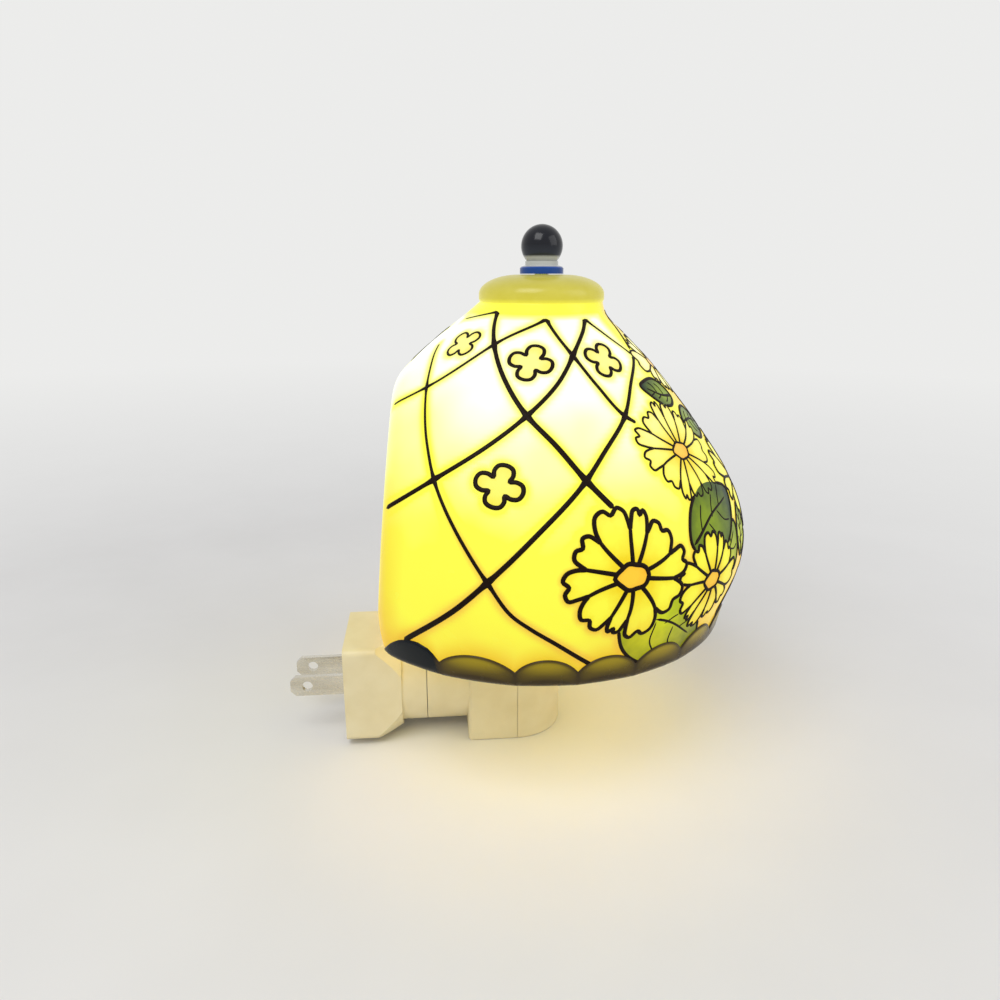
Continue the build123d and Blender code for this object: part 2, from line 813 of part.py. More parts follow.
bulb_contact = turned_upright(
    lamp_x,
    (0, bulb_tip_z),
    (bulb_tip_r - bulb_solder, bulb_tip_z),
    (bulb_tip_r, bulb_tip_z + bulb_solder),
    (bulb_tip_r, insulator_z),
    (0, insulator_z),
)
bulb_insulator = turned_upright(
    lamp_x,
    (0, insulator_z),
    (bulb_tip_r + bulb_solder, insulator_z),
    (bulb_cap_r - bulb_thread_depth - bulb_thread_start, bulb_cap_z),
    (0, bulb_cap_z),
)

thread_root = bulb_cap_r - bulb_thread_depth
thread_count = math.floor(bulb_cap_height / bulb_thread_pitch) - 1
thread_flank = bulb_thread_pitch / 3
thread_outline = [(thread_root - bulb_thread_start, bulb_cap_z)]
for ridge in range(thread_count):
    low = bulb_cap_z + bulb_thread_start + ridge * bulb_thread_pitch
    thread_outline += [
        (thread_root, low),
        (bulb_cap_r, low + thread_flank),
        (bulb_cap_r, low + 1.5 * thread_flank),
        (thread_root, low + 2.5 * thread_flank),
    ]
thread_outline += [(thread_root, bulb_cap_top), (bulb_neck_r + slip, bulb_cap_top)]
thread_outline += [(bulb_neck_r + slip, bulb_cap_z + bulb_cap_wall), (0, bulb_cap_z + bulb_cap_wall)]
thread_outline += [(0, bulb_cap_z)]
bulb_cap = turned_upright(lamp_x, *thread_outline)

glass_z = bulb_cap_z + bulb_cap_wall + glass_seat


def envelope(shrink):
    """Half of the pear outline on the XZ plane, shrunk by the glass thickness."""
    neck_x = lamp_x + bulb_neck_r - shrink
    belly_z = bulb_top - bulb_max_r
    top_z = bulb_top - shrink
    with BuildSketch(Plane.XZ) as half:
        with BuildLine():
            Polyline((lamp_x, glass_z), (neck_x, glass_z), (neck_x, bulb_cap_top + glass_shoulder))
            Spline(
                (neck_x, bulb_cap_top + glass_shoulder),
                (lamp_x + bulb_max_r - shrink, belly_z),
                tangents=((0, 1), (0, 1)),
            )
            CenterArc((lamp_x, belly_z), bulb_max_r - shrink, 0, 90)
            Line((lamp_x, top_z), (lamp_x, glass_z))
        make_face()
    return half


with BuildPart() as bulb_glass:
    add(envelope(0).sketch)
    revolve(axis=Axis((lamp_x, 0, 0), (0, 0, 1)))
    add(envelope(glass_thick).sketch)
    revolve(axis=Axis((lamp_x, 0, 0), (0, 0, 1)), mode=Mode.SUBTRACT)

stem_top = glass_z + stem_height
bulb_stem = turned_upright(
    lamp_x,
    (0, glass_z),
    (bulb_neck_r - glass_thick - slip, glass_z),
    (stem_r, glass_z + stem_flare),
    (stem_r, stem_top - stem_pinch),
    (stem_r - stem_pinch / 2, stem_top),
    (0, stem_top),
)

filament_z = stem_top + filament_rise
with BuildPart() as bulb_filament:
    with BuildLine():
        hoop = FilletPolyline(
            (lamp_x - filament_half_root, 0, stem_top),
            (lamp_x - filament_half_root, 0, stem_top + filament_leg),
            (lamp_x - filament_half_span, 0, filament_z - filament_leg),
            (lamp_x - filament_half_span, 0, filament_z),
            (lamp_x + filament_half_span, 0, filament_z),
            (lamp_x + filament_half_span, 0, filament_z - filament_leg),
            (lamp_x + filament_half_root, 0, stem_top + filament_leg),
            (lamp_x + filament_half_root, 0, stem_top),
            radius=filament_bend,
        )
    with BuildSketch(Plane(origin=hoop @ 0, z_dir=hoop % 0)):
        Circle(filament_wire_r)
    sweep()

# Shade bracket: ring under the lock ring, upright behind the bulb, arm under the cap
upright_x = lamp_x - strip_back
arm_z = plate_z + strip_gauge / 2
slope_end_x = cap_x - cap_bore_r + slope_inset
with BuildPart() as shade_bracket:
    with BuildSketch(Plane.XZ):
        with BuildLine():
            FilletPolyline(
                (lamp_x - (socket_r + strip_ring_r) / 2, strip_mid_z),
                (upright_x, strip_mid_z),
                (upright_x, strip_knee_z),
                (slope_end_x, arm_z - strip_drop),
                (slope_end_x + strip_step, arm_z),
                (cap_x + pad_r, arm_z),
                radius=strip_bend / 2,
            )
        trace(line_width=strip_gauge)
    extrude(amount=strip_width / 2, both=True)
    rod_z(strip_z, strip_z + strip_gauge, strip_ring_r, lamp_x)
    rod_z(strip_z, strip_z + strip_gauge, socket_r + slip, lamp_x, mode=Mode.SUBTRACT)
    rod_z(plate_z, pad_z, stud_r + slip, cap_x, mode=Mode.SUBTRACT)

stud_z = plate_z - stud_nut_thick - stud_below_nut
with BuildPart() as bracket_stud:
    rod_z(stud_z, stud_z + stud_length, stud_r, cap_x)

with BuildPart() as stud_nut:
    with BuildSketch(Plane.XY.offset(plate_z - stud_nut_thick)):
        with Locations((cap_x, 0)):
            RegularPolygon(stud_nut_flats / 2, 6, major_radius=False)
            Circle(stud_r + slip, mode=Mode.SUBTRACT)
    extrude(amount=stud_nut_thick)

with BuildPart() as cap_pad:
    rod_z(pad_z, pad_z + pad_thick, pad_r, cap_x)
    rod_z(pad_z, pad_z + pad_thick, stud_r + slip, cap_x, mode=Mode.SUBTRACT)

# Shade: outer form and hollow are lofts through level circles, cut off behind by a flat that
# leans in towards the top and draws in a little at the rim
lean = math.radians(back_lean)
flat_x = cap_x - back_at_rim
tuck_z = rim_z + back_tuck_height
behind_x = flat_x - plug_side


def back_x(z):
    """Where the flat stands at a height."""
    return flat_x + (z - rim_z) * math.tan(lean)


def behind(grow):
    """The space behind the flat, grown forwards by the shade's wall."""
    with BuildPart() as space:
        with BuildSketch(Plane.XZ):
            with BuildLine():
                Polyline(
                    (flat_x + back_tuck, rim_z),
                    (flat_x + back_tuck, rim_z - plug_side),
                    (behind_x, rim_z - plug_side),
                    (behind_x, cap_top),
                    (back_x(cap_top), cap_top),
                    (back_x(tuck_z), tuck_z),
                )
                TangentArc(
                    (back_x(tuck_z), tuck_z),
                    (flat_x + back_tuck, rim_z),
                    tangent=(-math.sin(lean), -math.cos(lean)),
                )
            make_face()
            if grow:
                offset(amount=grow, kind=Kind.INTERSECTION)
        extrude(amount=2 * cap_x, both=True)
    return space


def ring_circles(grow):
    """The shade's level circles as (height, centre, radius), grown along the surface's normal."""
    levels = [(rim_z + h, cap_x + (f - b) / 2, (f + b) / 2) for h, f, b in shade_rings]
    circles = []
    for index, (z, x, r) in enumerate(levels):
        below = levels[max(index - 1, 0)]
        above = levels[min(index + 1, len(levels) - 1)]
        slope = (above[2] - below[2]) / (above[0] - below[0])
        steep = math.hypot(1, slope)
        circles.append((z - grow * slope / steep, x, r + grow / steep))
    return circles


def lofted(circles):
    """A solid through level circles."""
    with BuildPart() as form:
        for z, x, r in circles:
            with BuildSketch(Plane.XY.offset(z)):
                with Locations((x, 0)):
                    Circle(r)
        loft()
    return form


outer_form = lofted(ring_circles(0))
hollow_circles = ring_circles(-shade_wall)[1:-2]
_, mouth_x, mouth_r = ring_circles(0)[0]
rim_wall_r = mouth_r - shade_wall
mouth_circles = [(z, mouth_x, rim_wall_r) for z in (rim_z - mouth_overlap, rim_z)]
hollow_form = lofted(mouth_circles + hollow_circles)

hem_circles = [(z, x, r + hem_rise) for z, x, r in ring_circles(0)]
corner_turn = math.degrees(math.acos((flat_x + back_tuck - mouth_x) / mouth_r))
front_turn = 2 * (corner_turn - hem_corner_span - hem_next_span)
front_spans = [front_turn / hem_front_arches] * hem_front_arches
hem_spans = [hem_corner_span, hem_next_span] + front_spans + [hem_next_span, hem_corner_span]
arch_drop = hem_top - hem_valley
turn = -corner_turn
with BuildPart() as arches:
    for span in hem_spans:
        half_width = mouth_r * math.radians(span / 2)
        arch_r = (half_width**2 + arch_drop**2) / (2 * arch_drop)
        spoke = Plane((mouth_x, 0, rim_z), x_dir=(0, 0, 1), z_dir=(1, 0, 0)).rotated((0, 0, turn + span / 2))
        with BuildSketch(spoke.offset(mouth_r - 2 * shade_wall)):
            with Locations((hem_top - arch_r, 0)):
                Circle(arch_r)
        extrude(amount=4 * shade_wall)
        turn += span

behind_shade = behind(0)
with BuildPart() as hem:
    add(lofted(hem_circles).part)
    add(arches.part, mode=Mode.INTERSECT)
    add(behind_shade.part, mode=Mode.SUBTRACT)

with BuildPart() as hollow:
    add(hollow_form.part)
    add(behind(shade_wall).part, mode=Mode.SUBTRACT)

with BuildPart() as shade:
    add(outer_form.part)
    add(behind_shade.part, mode=Mode.SUBTRACT)
    add(hem.part)
    with BuildSketch(Plane.XZ):
        with BuildLine():
            Polyline(
                (cap_x + cap_seat_r, cap_top),
                (cap_x, cap_top),
                (cap_x, cap_z - cap_overlap),
                (cap_x + cap_r, cap_z - cap_overlap),
                (cap_x + cap_r, cap_z + cap_skirt),
            )
            EllipticalCenterArc(
                (cap_x + cap_seat_r, cap_z + cap_skirt),
                cap_r - cap_seat_r,
                cap_rise - cap_skirt,
                arc_size=90,
            )
        make_face()
    revolve(axis=Axis((cap_x, 0, 0), (0, 0, 1)))
    add(hollow.part, mode=Mode.SUBTRACT)
    rod_z(rim_z + shade_rings[-1][0] / 2, ceiling_z, cap_bore_r, cap_x, mode=Mode.SUBTRACT)
    rod_z(ceiling_z, cap_top, stud_hole_r, cap_x, mode=Mode.SUBTRACT)

# Bumper between the upright and the flat back: it keeps the shade square
with BuildPart() as back_bumper:
    rod_x(back_x(bumper_z), upright_x - strip_gauge / 2, bumper_r, z=bumper_z)
    add(behind(shade_wall + running).part, mode=Mode.SUBTRACT)

# Finial
collar_z = cap_top + running
washer_top = collar_z + finial_washer_thick
knob_z = collar_z + finial_collar_height
finial_bore_r = stud_r + 2 * slip
finial_washer = turned_upright(
    cap_x,
    (finial_bore_r, collar_z),
    (finial_washer_r, collar_z),
    (finial_washer_r, washer_top),
    (finial_bore_r, washer_top),
)
finial_collar = turned_upright(
    cap_x,
    (finial_bore_r, washer_top),
    (finial_washer_r + slip, washer_top),
    (finial_washer_r + slip, collar_z),
    (finial_collar_r, collar_z),
    (finial_collar_r, collar_z + finial_band_height - finial_band_slope),
    (finial_collar_r - finial_band_slope, collar_z + finial_band_height),
    (finial_neck_r, collar_z + finial_band_height + finial_band_slope),
    (finial_neck_r, knob_z),
    (finial_bore_r, knob_z),
)
ball_z = knob_z + knob_height - knob_r
with BuildPart() as finial_knob:
    with Locations((cap_x, 0, ball_z)):
        Sphere(knob_r)
    split(bisect_by=Plane.XY.offset(knob_z), keep=Keep.TOP)
    rod_z(knob_z, knob_z + insert_length, insert_r + slip, cap_x, mode=Mode.SUBTRACT)

finial_insert = turned_upright(
    cap_x,
    (finial_bore_r, knob_z),
    (insert_r, knob_z),
    (insert_r, knob_z + insert_length - easy),
    (finial_bore_r, knob_z + insert_length - easy),
)

pieces = {
    "outlet_cover": outlet_cover,
    "plug_body": plug_body,
    "plug_screws": plug_screws,
    "blade_line": blade_line,
    "blade_neutral": blade_neutral,
    "contact_carrier": contact_carrier,
    "ring_contact": ring_contact,
    "pin_contact": pin_contact,
    "neck_bush": neck_bush,
    "swivel_nipple": swivel_nipple,
    "wave_washer": wave_washer,
    "swivel_clip": swivel_clip,
    "lock_nut": lock_nut,
    "wiper_disc": wiper_disc,
    "centre_wiper": centre_wiper,
    "ring_wiper": ring_wiper,
    "holder_rear": holder_rear,
    "holder_front": holder_front,
    "holder_screws": holder_screws,
    "switch_case": switch_case,
    "switch_rocker": switch_rocker,
    "switch_bridge": switch_bridge,
    "switch_terminals": switch_terminals,
    "lamp_socket": lamp_socket,
    "screw_shell": screw_shell,
    "centre_contact": centre_contact,
    "lock_ring": lock_ring,
    "candle_sleeve": candle_sleeve,
    "lead_switch": lead_switch,
    "lead_shell": lead_shell,
    "lead_contact": lead_contact,
    "bulb_contact": bulb_contact,
    "bulb_insulator": bulb_insulator,
    "bulb_cap": bulb_cap,
    "bulb_glass": bulb_glass,
    "bulb_stem": bulb_stem,
    "bulb_filament": bulb_filament,
    "shade_bracket": shade_bracket,
    "bracket_stud": bracket_stud,
    "stud_nut": stud_nut,
    "cap_pad": cap_pad,
    "back_bumper": back_bumper,
    "shade": shade,
    "finial_washer": finial_washer,
    "finial_collar": finial_collar,
    "finial_knob": finial_knob,
    "finial_insert": finial_insert,
}

for name, piece in pieces.items():
    piece.part.label = name
    export_step(piece.part, f"parts/{name}.step")
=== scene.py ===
import math

import bpy
import numpy as np
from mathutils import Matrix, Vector
from mathutils.kdtree import KDTree


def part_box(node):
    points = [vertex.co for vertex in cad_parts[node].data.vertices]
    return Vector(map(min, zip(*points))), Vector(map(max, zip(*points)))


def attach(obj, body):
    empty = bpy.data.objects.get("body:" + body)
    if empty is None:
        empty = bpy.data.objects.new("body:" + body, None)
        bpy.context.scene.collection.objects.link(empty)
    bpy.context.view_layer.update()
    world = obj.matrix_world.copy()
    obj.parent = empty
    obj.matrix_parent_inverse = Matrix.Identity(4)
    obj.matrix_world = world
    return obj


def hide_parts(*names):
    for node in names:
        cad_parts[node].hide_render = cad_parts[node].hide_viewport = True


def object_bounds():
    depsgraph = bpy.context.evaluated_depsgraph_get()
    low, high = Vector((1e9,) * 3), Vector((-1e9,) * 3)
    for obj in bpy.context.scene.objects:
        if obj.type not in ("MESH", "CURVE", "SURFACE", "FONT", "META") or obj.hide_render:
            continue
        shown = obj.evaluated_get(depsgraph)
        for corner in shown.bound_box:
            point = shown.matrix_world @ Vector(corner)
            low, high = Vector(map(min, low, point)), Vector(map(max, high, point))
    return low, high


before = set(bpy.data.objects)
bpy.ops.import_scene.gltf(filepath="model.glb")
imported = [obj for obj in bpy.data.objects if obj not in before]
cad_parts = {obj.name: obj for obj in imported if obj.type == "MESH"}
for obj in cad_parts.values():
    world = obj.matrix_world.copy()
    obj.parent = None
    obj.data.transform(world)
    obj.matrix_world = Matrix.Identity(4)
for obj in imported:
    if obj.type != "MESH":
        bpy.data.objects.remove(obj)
cad_low, cad_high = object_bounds()

# Plug body and holder shells. The real pieces are ivory thermoplastic, injection moulded with a
# satin finish, a faint flow mottle and slightly drawn-in walls. The plug's body runs from a square
# end to a round neck; the holder is two shells that meet in the plane of the lamp's axis.
mm = 0.001
ivory = (0.82, 0.73, 0.48)
ivory_shadow = (0.75, 0.65, 0.39)


def new_finish(name, colour, roughness, metallic=0.0, coat=0.0):
    """A material with one Principled shader of this colour; returns both."""
    finish = bpy.data.materials.new(name)
    finish.use_nodes = True
    shader = finish.node_tree.nodes["Principled BSDF"]
    shader.inputs["Base Color"].default_value = (*colour, 1)
    shader.inputs["Roughness"].default_value = roughness
    shader.inputs["Metallic"].default_value = metallic
    shader.inputs["Coat Weight"].default_value = coat
    return finish, shader


def wired(tree, kind, *values, **named):
    """A new node; its inputs, in order or by name, are sockets to link or plain values to set."""
    node = tree.nodes.new("ShaderNode" + kind)
    inputs = list(zip(node.inputs, values))
    inputs += [(node.inputs[name.replace("_", " ")], value) for name, value in named.items()]
    for socket, value in inputs:
        if isinstance(value, bpy.types.NodeSocket):
            tree.links.new(value, socket)
        else:
            socket.default_value = value
    return node


def grain(finish, size, detail=3.0, stretch=(1, 1, 1)):
    """Noise of this grain size in the piece's own coordinates; returns its factor socket."""
    tree = finish.node_tree
    place = wired(tree, "TexCoord").outputs["Object"]
    stretched = wired(tree, "Mapping", Vector=place, Scale=stretch).outputs["Vector"]
    return wired(tree, "TexNoise", Vector=stretched, Scale=1 / size, Detail=detail).outputs["Fac"]


def ramp(finish, factor, *stops):
    """A colour ramp through (position, colour) stops; returns its colour socket."""
    shades = wired(finish.node_tree, "ValToRGB", factor)
    elements = shades.color_ramp.elements
    while len(elements) < len(stops):
        elements.new(0.5)
    for element, (position, colour) in zip(elements, stops):
        element.position = position
        element.color = (*colour, 1)
    return shades.outputs["Color"]


def spread(finish, factor, low, high, from_low=0.3, from_high=0.7):
    """A factor moved to the range from low to high; returns the result socket."""
    return wired(finish.node_tree, "MapRange", factor, from_low, from_high, low, high).outputs["Result"]


def emboss(finish, shader, height, distance, strength=0.4):
    """Bump of this depth on the shader, from a height socket."""
    bump = wired(finish.node_tree, "Bump", Height=height, Distance=distance, Strength=strength)
    join(finish, bump.outputs["Normal"], shader, "Normal")


def join(finish, socket, shader, name):
    """Links a socket to one input of the shader."""
    finish.node_tree.links.new(socket, shader.inputs[name])


def mottled(name, light, dark, roughness, size, metallic=0.0, coat=0.0, bump=0.02 * mm, stretch=(1, 1, 1)):
    """A finish whose colour drifts between two shades, with uneven gloss and a fine relief."""
    finish, shader = new_finish(name, light, roughness, metallic, coat)
    patches = grain(finish, size, 4.0, stretch)
    join(finish, ramp(finish, patches, (0.3, dark), (0.7, light)), shader, "Base Color")
    fine = grain(finish, size / 8, 2.0, stretch)
    join(finish, spread(finish, fine, roughness * 0.8, roughness * 1.25), shader, "Roughness")
    emboss(finish, shader, fine, bump)
    return finish


def dress(finish, *names):
    """Gives CAD nodes a finish."""
    for name in names:
        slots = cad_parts[name].data.materials
        slots.clear()
        slots.append(finish)


ivory_plastic = mottled("ivory_plastic", ivory, ivory_shadow, 0.38, 9 * mm)
dress(ivory_plastic, "plug_body", "holder_rear", "holder_front")

# Outlet cover. The same ivory plastic, spark-eroded to a matt face where it sits on the outlet, and
# held by two small screws from that side.
cover_plastic = mottled("cover_plastic", ivory, ivory_shadow, 0.62, 1.2 * mm, bump=0.05 * mm)
dress(cover_plastic, "outlet_cover")

# Blades. Flat brass stampings with bevelled tips, nickel plated and drawn, so that fine lines run
# along them.
nickel = mottled(
    "nickel", (0.74, 0.71, 0.63), (0.60, 0.56, 0.47), 0.26, 3 * mm, metallic=1.0, stretch=(0.15, 1, 1)
)
dress(nickel, "blade_line", "blade_neutral")

# Screws, swivel tube, washer, clip and nuts. Zinc-plated steel with the soft blue-grey bloom of
# passivated plating.
zinc = mottled("zinc", (0.66, 0.68, 0.70), (0.50, 0.52, 0.55), 0.34, 2.5 * mm, metallic=1.0)
dress(zinc, "plug_screws", "swivel_nipple", "wave_washer", "swivel_clip", "lock_nut")
dress(zinc, "holder_screws", "bracket_stud", "stud_nut")

# Contact plates. Pressed fibre board, red-brown and speckled, punched from sheet. One stands behind
# the blades, and the other carries the wipers on the end of the swivel tube.
fibre = mottled("fibre", (0.36, 0.19, 0.10), (0.20, 0.10, 0.05), 0.7, 1.0 * mm, bump=0.06 * mm)
dress(fibre, "contact_carrier", "wiper_disc")

# Neck bush. Natural nylon, turned, slightly waxy. It is pressed into the plug's neck, and the
# swivel tube turns in it.
nylon = mottled("nylon", (0.82, 0.80, 0.72), (0.74, 0.71, 0.62), 0.45, 4 * mm)
dress(nylon, "neck_bush")

# Contacts and terminals. Bare rolled brass that has started to tarnish, punched and bent from
# strip; the finial's threaded insert is turned from the same metal.
brass = mottled("brass", (0.80, 0.58, 0.24), (0.58, 0.38, 0.14), 0.3, 3 * mm, metallic=1.0)
dress(brass, "ring_contact", "pin_contact", "centre_wiper", "ring_wiper", "switch_bridge")
dress(brass, "switch_terminals", "screw_shell", "centre_contact", "finial_insert")

# Rocker switch. A black moulded case with a satin rim, snapped into the far side of the block, and
# a glossier dished rocker that tips in it.
switch_plastic = mottled("switch_plastic", (0.035, 0.035, 0.036), (0.022, 0.022, 0.023), 0.4, 3 * mm)
rocker_plastic = mottled("rocker_plastic", (0.03, 0.03, 0.031), (0.02, 0.02, 0.021), 0.22, 5 * mm)
dress(switch_plastic, "switch_case")
dress(rocker_plastic, "switch_rocker")

# Lampholder and its ring. Black phenolic, hot pressed, with pale filler specks. The ring screws on
# from above and holds the lampholder and the bracket to the block.
phenolic = mottled("phenolic", (0.055, 0.05, 0.045), (0.03, 0.027, 0.024), 0.42, 0.8 * mm, bump=0.03 * mm)
dress(phenolic, "lamp_socket", "lock_ring")

# Candle sleeve. A wound card tube, coated ivory, with the fibres still showing through. It slips
# over the lampholder and stands on the ring.
card = mottled("card", (0.80, 0.74, 0.58), (0.70, 0.62, 0.45), 0.68, 1.5 * mm, bump=0.05 * mm)
dress(card, "candle_sleeve")

# Leads. Single cores in white insulation, cut to length and bent by hand between the wipers, the
# switch and the lampholder.
insulation = mottled("insulation", (0.80, 0.78, 0.72), (0.70, 0.68, 0.60), 0.45, 3 * mm)
dress(insulation, "lead_switch", "lead_shell", "lead_contact")

# Bulb. A small pear night bulb, frosted inside, lit, on a pressed brass screw cap with a black
# glass insulator and a soldered tip.
glow_warm = (1.0, 0.72, 0.34)
glow_pale = (1.0, 0.82, 0.5)
glow_strength = 7.0
filament_strength = 8.0
frosted, frosted_shader = new_finish("frosted_glass", (1.0, 0.93, 0.78), 0.35)
frosted_shader.inputs["Emission Strength"].default_value = glow_strength
glow_patches = grain(frosted, 14 * mm, 2.0)
bulb_glow = ramp(frosted, glow_patches, (0.3, glow_warm), (0.7, glow_pale))
join(frosted, bulb_glow, frosted_shader, "Emission Color")
dress(frosted, "bulb_glass")
clear_glass = mottled("stem_glass", (0.85, 0.84, 0.78), (0.76, 0.75, 0.68), 0.12, 4 * mm)
dress(clear_glass, "bulb_stem")
cap_brass = mottled("cap_brass", (0.76, 0.62, 0.36), (0.60, 0.46, 0.22), 0.28, 2 * mm, metallic=1.0)
dress(cap_brass, "bulb_cap")
black_glass = mottled("black_glass", (0.03, 0.03, 0.035), (0.02, 0.02, 0.025), 0.12, 2 * mm)
dress(black_glass, "bulb_insulator")
solder = mottled("solder", (0.62, 0.62, 0.62), (0.48, 0.48, 0.49), 0.38, 1 * mm, metallic=1.0)
dress(solder, "bulb_contact")
filament_wire, filament_shader = new_finish("filament_wire", (0.9, 0.7, 0.4), 0.4, 1.0)
filament_shader.inputs["Emission Strength"].default_value = filament_strength
coil_bands = grain(filament_wire, 0.4 * mm, 1.0)
coil_glow = ramp(filament_wire, coil_bands, (0.35, (1.0, 0.55, 0.18)), (0.65, (1.0, 0.8, 0.45)))
join(filament_wire, coil_glow, filament_shader, "Emission Color")
dress(filament_wire, "bulb_filament")

# Shade bracket. One steel strip, brass plated and lacquered, bent up behind the bulb and over to
# the cap, with a felt pad on top and a soft silicone bumper behind.
plated = mottled("plated", (0.74, 0.53, 0.22), (0.62, 0.42, 0.16), 0.24, 6 * mm, metallic=1.0, coat=0.3)
dress(plated, "shade_bracket")
felt = mottled("felt", (0.70, 0.66, 0.58), (0.52, 0.48, 0.40), 0.95, 0.5 * mm, bump=0.15 * mm)
dress(felt, "cap_pad")
silicone = mottled("silicone", (0.80, 0.80, 0.76), (0.72, 0.72, 0.68), 0.5, 3 * mm)
dress(silicone, "back_bumper", "finial_washer")

# Porcelain shade. Slip-cast bell with a domed cap and a flat back that leans in, about 3 mm thick,
# glazed, and translucent enough to glow yellow where the bulb stands close behind it; that glow is
# painted on as the wall's emission colour.
shade_low, shade_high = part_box("shade")
knob_low, knob_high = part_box("finial_knob")
bulb_low, bulb_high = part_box("bulb_glass")
rim_z = shade_low.z
cap_x = (knob_low.x + knob_high.x) / 2
cap_top = shade_high.z
wall = 3.0 * mm
# each ring is its height above the rim, then how far it reaches in front of and behind the finial
rings = [
    (0.0, 54.4, 57.6),
    (8.4, 56.3, 59.8),
    (14.6, 58.5, 60.7),
    (22.4, 60.3, 61.3),
    (32.4, 59.3, 60.7),
    (42.4, 55.1, 58.3),
    (53.8, 47.5, 53.0),
    (65.4, 38.6, 45.4),
    (75.9, 29.6, 35.3),
    (83.1, 22.3, 26.7),
    (87.0, 18.6, 21.6),
    (90.0, 17.7, 18.1),
]
ring_height, ring_front, ring_back = (np.array(column) * mm for column in zip(*rings))
# the bare wall lies this far inside the solid's, so that the enamel's relief ends at the same place
glaze_room = 0.4 * mm
ring_front, ring_back = ring_front - glaze_room, ring_back - glaze_room
crown = ring_height[-1]
back_at_rim = 48.4 * mm
back_lean = math.tan(math.radians(5.1))
back_tuck = 2.0 * mm
back_tuck_height = 14.0 * mm
corner_soft = 3.5 * mm


def eased(t, step, first, first_slope, last, last_slope):
    """The value a share t of the way along a smooth step between two values with their slopes."""
    start = (1 + 2 * t) * (1 - t) ** 2 * first + t * (1 - t) ** 2 * step * first_slope
    return start + t * t * (3 - 2 * t) * last + t * t * (t - 1) * step * last_slope


def smooth_through(values, heights):
    """Values at these heights, on a smooth curve through the rings."""
    slopes = np.gradient(values, ring_height)
    below = np.clip(np.searchsorted(ring_height, heights) - 1, 0, len(ring_height) - 2)
    step = ring_height[below + 1] - ring_height[below]
    share = (heights - ring_height[below]) / step
    return eased(share, step, values[below], slopes[below], values[below + 1], slopes[below + 1])


def level_circle(heights):
    """Centre along X and radius of the shade's level circle at heights above the rim."""
    heights = np.clip(heights, 0, crown)
    front, behind = smooth_through(ring_front, heights), smooth_through(ring_back, heights)
    return cap_x + (front - behind) / 2, (front + behind) / 2


def wall_points(turns, heights, inward=0.0):
    """Points of the wall at turns from the front, some way in from the outer face."""
    turns, heights = np.broadcast_arrays(np.asarray(turns, float), heights)
    centre, radius = level_circle(heights)
    tuck = np.maximum(1 - heights / back_tuck_height, 0) ** 2 * back_tuck
    back = cap_x - back_at_rim + heights * back_lean + tuck
    round_reach = radius - inward
    flat_reach = (centre - back - inward) / np.maximum(-np.cos(turns), 0.05)
    overlap = np.maximum(corner_soft - np.abs(round_reach - flat_reach), 0) / corner_soft
    reach = np.minimum(round_reach, flat_reach) - overlap**2 * corner_soft / 4
    return np.stack([centre + reach * np.cos(turns), reach * np.sin(turns), rim_z + heights], -1)


def outward(turns, heights):
    """Directions straight out of the wall."""
    nudge, lift = 0.002, 0.2 * mm
    along = wall_points(turns + nudge, heights) - wall_points(turns - nudge, heights)
    up = wall_points(turns, np.minimum(heights + lift, crown)) - wall_points(turns, heights - lift)
    normals = np.cross(along, up)
    return normals / np.linalg.norm(normals, axis=-1, keepdims=True)


def steepness(heights):
    """How much longer the wall is than it is high at these heights."""
    step = 0.5 * mm
    high, low = np.minimum(heights + step, crown), np.maximum(heights - step, 0)
    return np.hypot(1, (level_circle(high)[1] - level_circle(low)[1]) / (high - low))


def level_ring(turns, centre, radius, z):
    """A level circle of points."""
    return np.stack([centre + radius * np.cos(turns), radius * np.sin(turns), 0 * turns + z], -1)


def shade_piece(name, points, faces, finish):
    """A smooth mesh piece of the shade, in place of part of the solid's outer face."""
    mesh = bpy.data.meshes.new(name)
    mesh.from_pydata([tuple(map(float, p)) for p in points], [], faces)
    mesh.update()
    piece = bpy.data.objects.new(name, mesh)
    bpy.context.scene.collection.objects.link(piece)
    for polygon in mesh.polygons:
        polygon.use_smooth = True
    mesh.materials.append(finish)
    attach(piece, "shade")
    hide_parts("shade")
    return piece


def skinned(loops, around=True, back_to_start=False):
    """Points and faces of a skin over loops of as many points each."""
    loops = np.asarray(loops)
    rows, count = loops.shape[:2]
    last_row = rows if back_to_start else rows - 1
    last_column = count if around else count - 1
    faces = []
    for row in range(last_row):
        for n in range(last_column):
            a, b = row * count, (row + 1) % rows * count
            m = (n + 1) % count
            faces.append((a + n, b + n, b + m, a + m))
    return loops.reshape(-1, 3), faces


# painted light: light that comes through the wall is painted on as glow, by how near the wall is to the
# bulb; it is white up to one reach and amber from the other on, and drifts in and out a little from place
# to place; the six colours from amber to white-hot below are tones of that painted glow
white_reach = 34 * mm
amber_reach = 78 * mm
light_drift = 3 * mm
light_patches = 26 * mm
bulb_heart = (bulb_low.x + bulb_high.x) / 2 + 6 * mm, -5 * mm, bulb_low.z + 35 * mm
dim_light_amber = (0.50, 0.27, 0.0)
gold = (0.52, 0.38, 0.002)
lemon = (0.56, 0.62, 0.006)
cream = (0.57, 0.64, 0.16)
straw = (0.60, 0.66, 0.42)
white_hot = (0.66, 0.72, 0.94)
porcelain_base = (0.50, 0.40, 0.07)
# a darker base colour for painted shade, where less light comes through the wall
dim_light_base = (0.42, 0.28, 0.01)


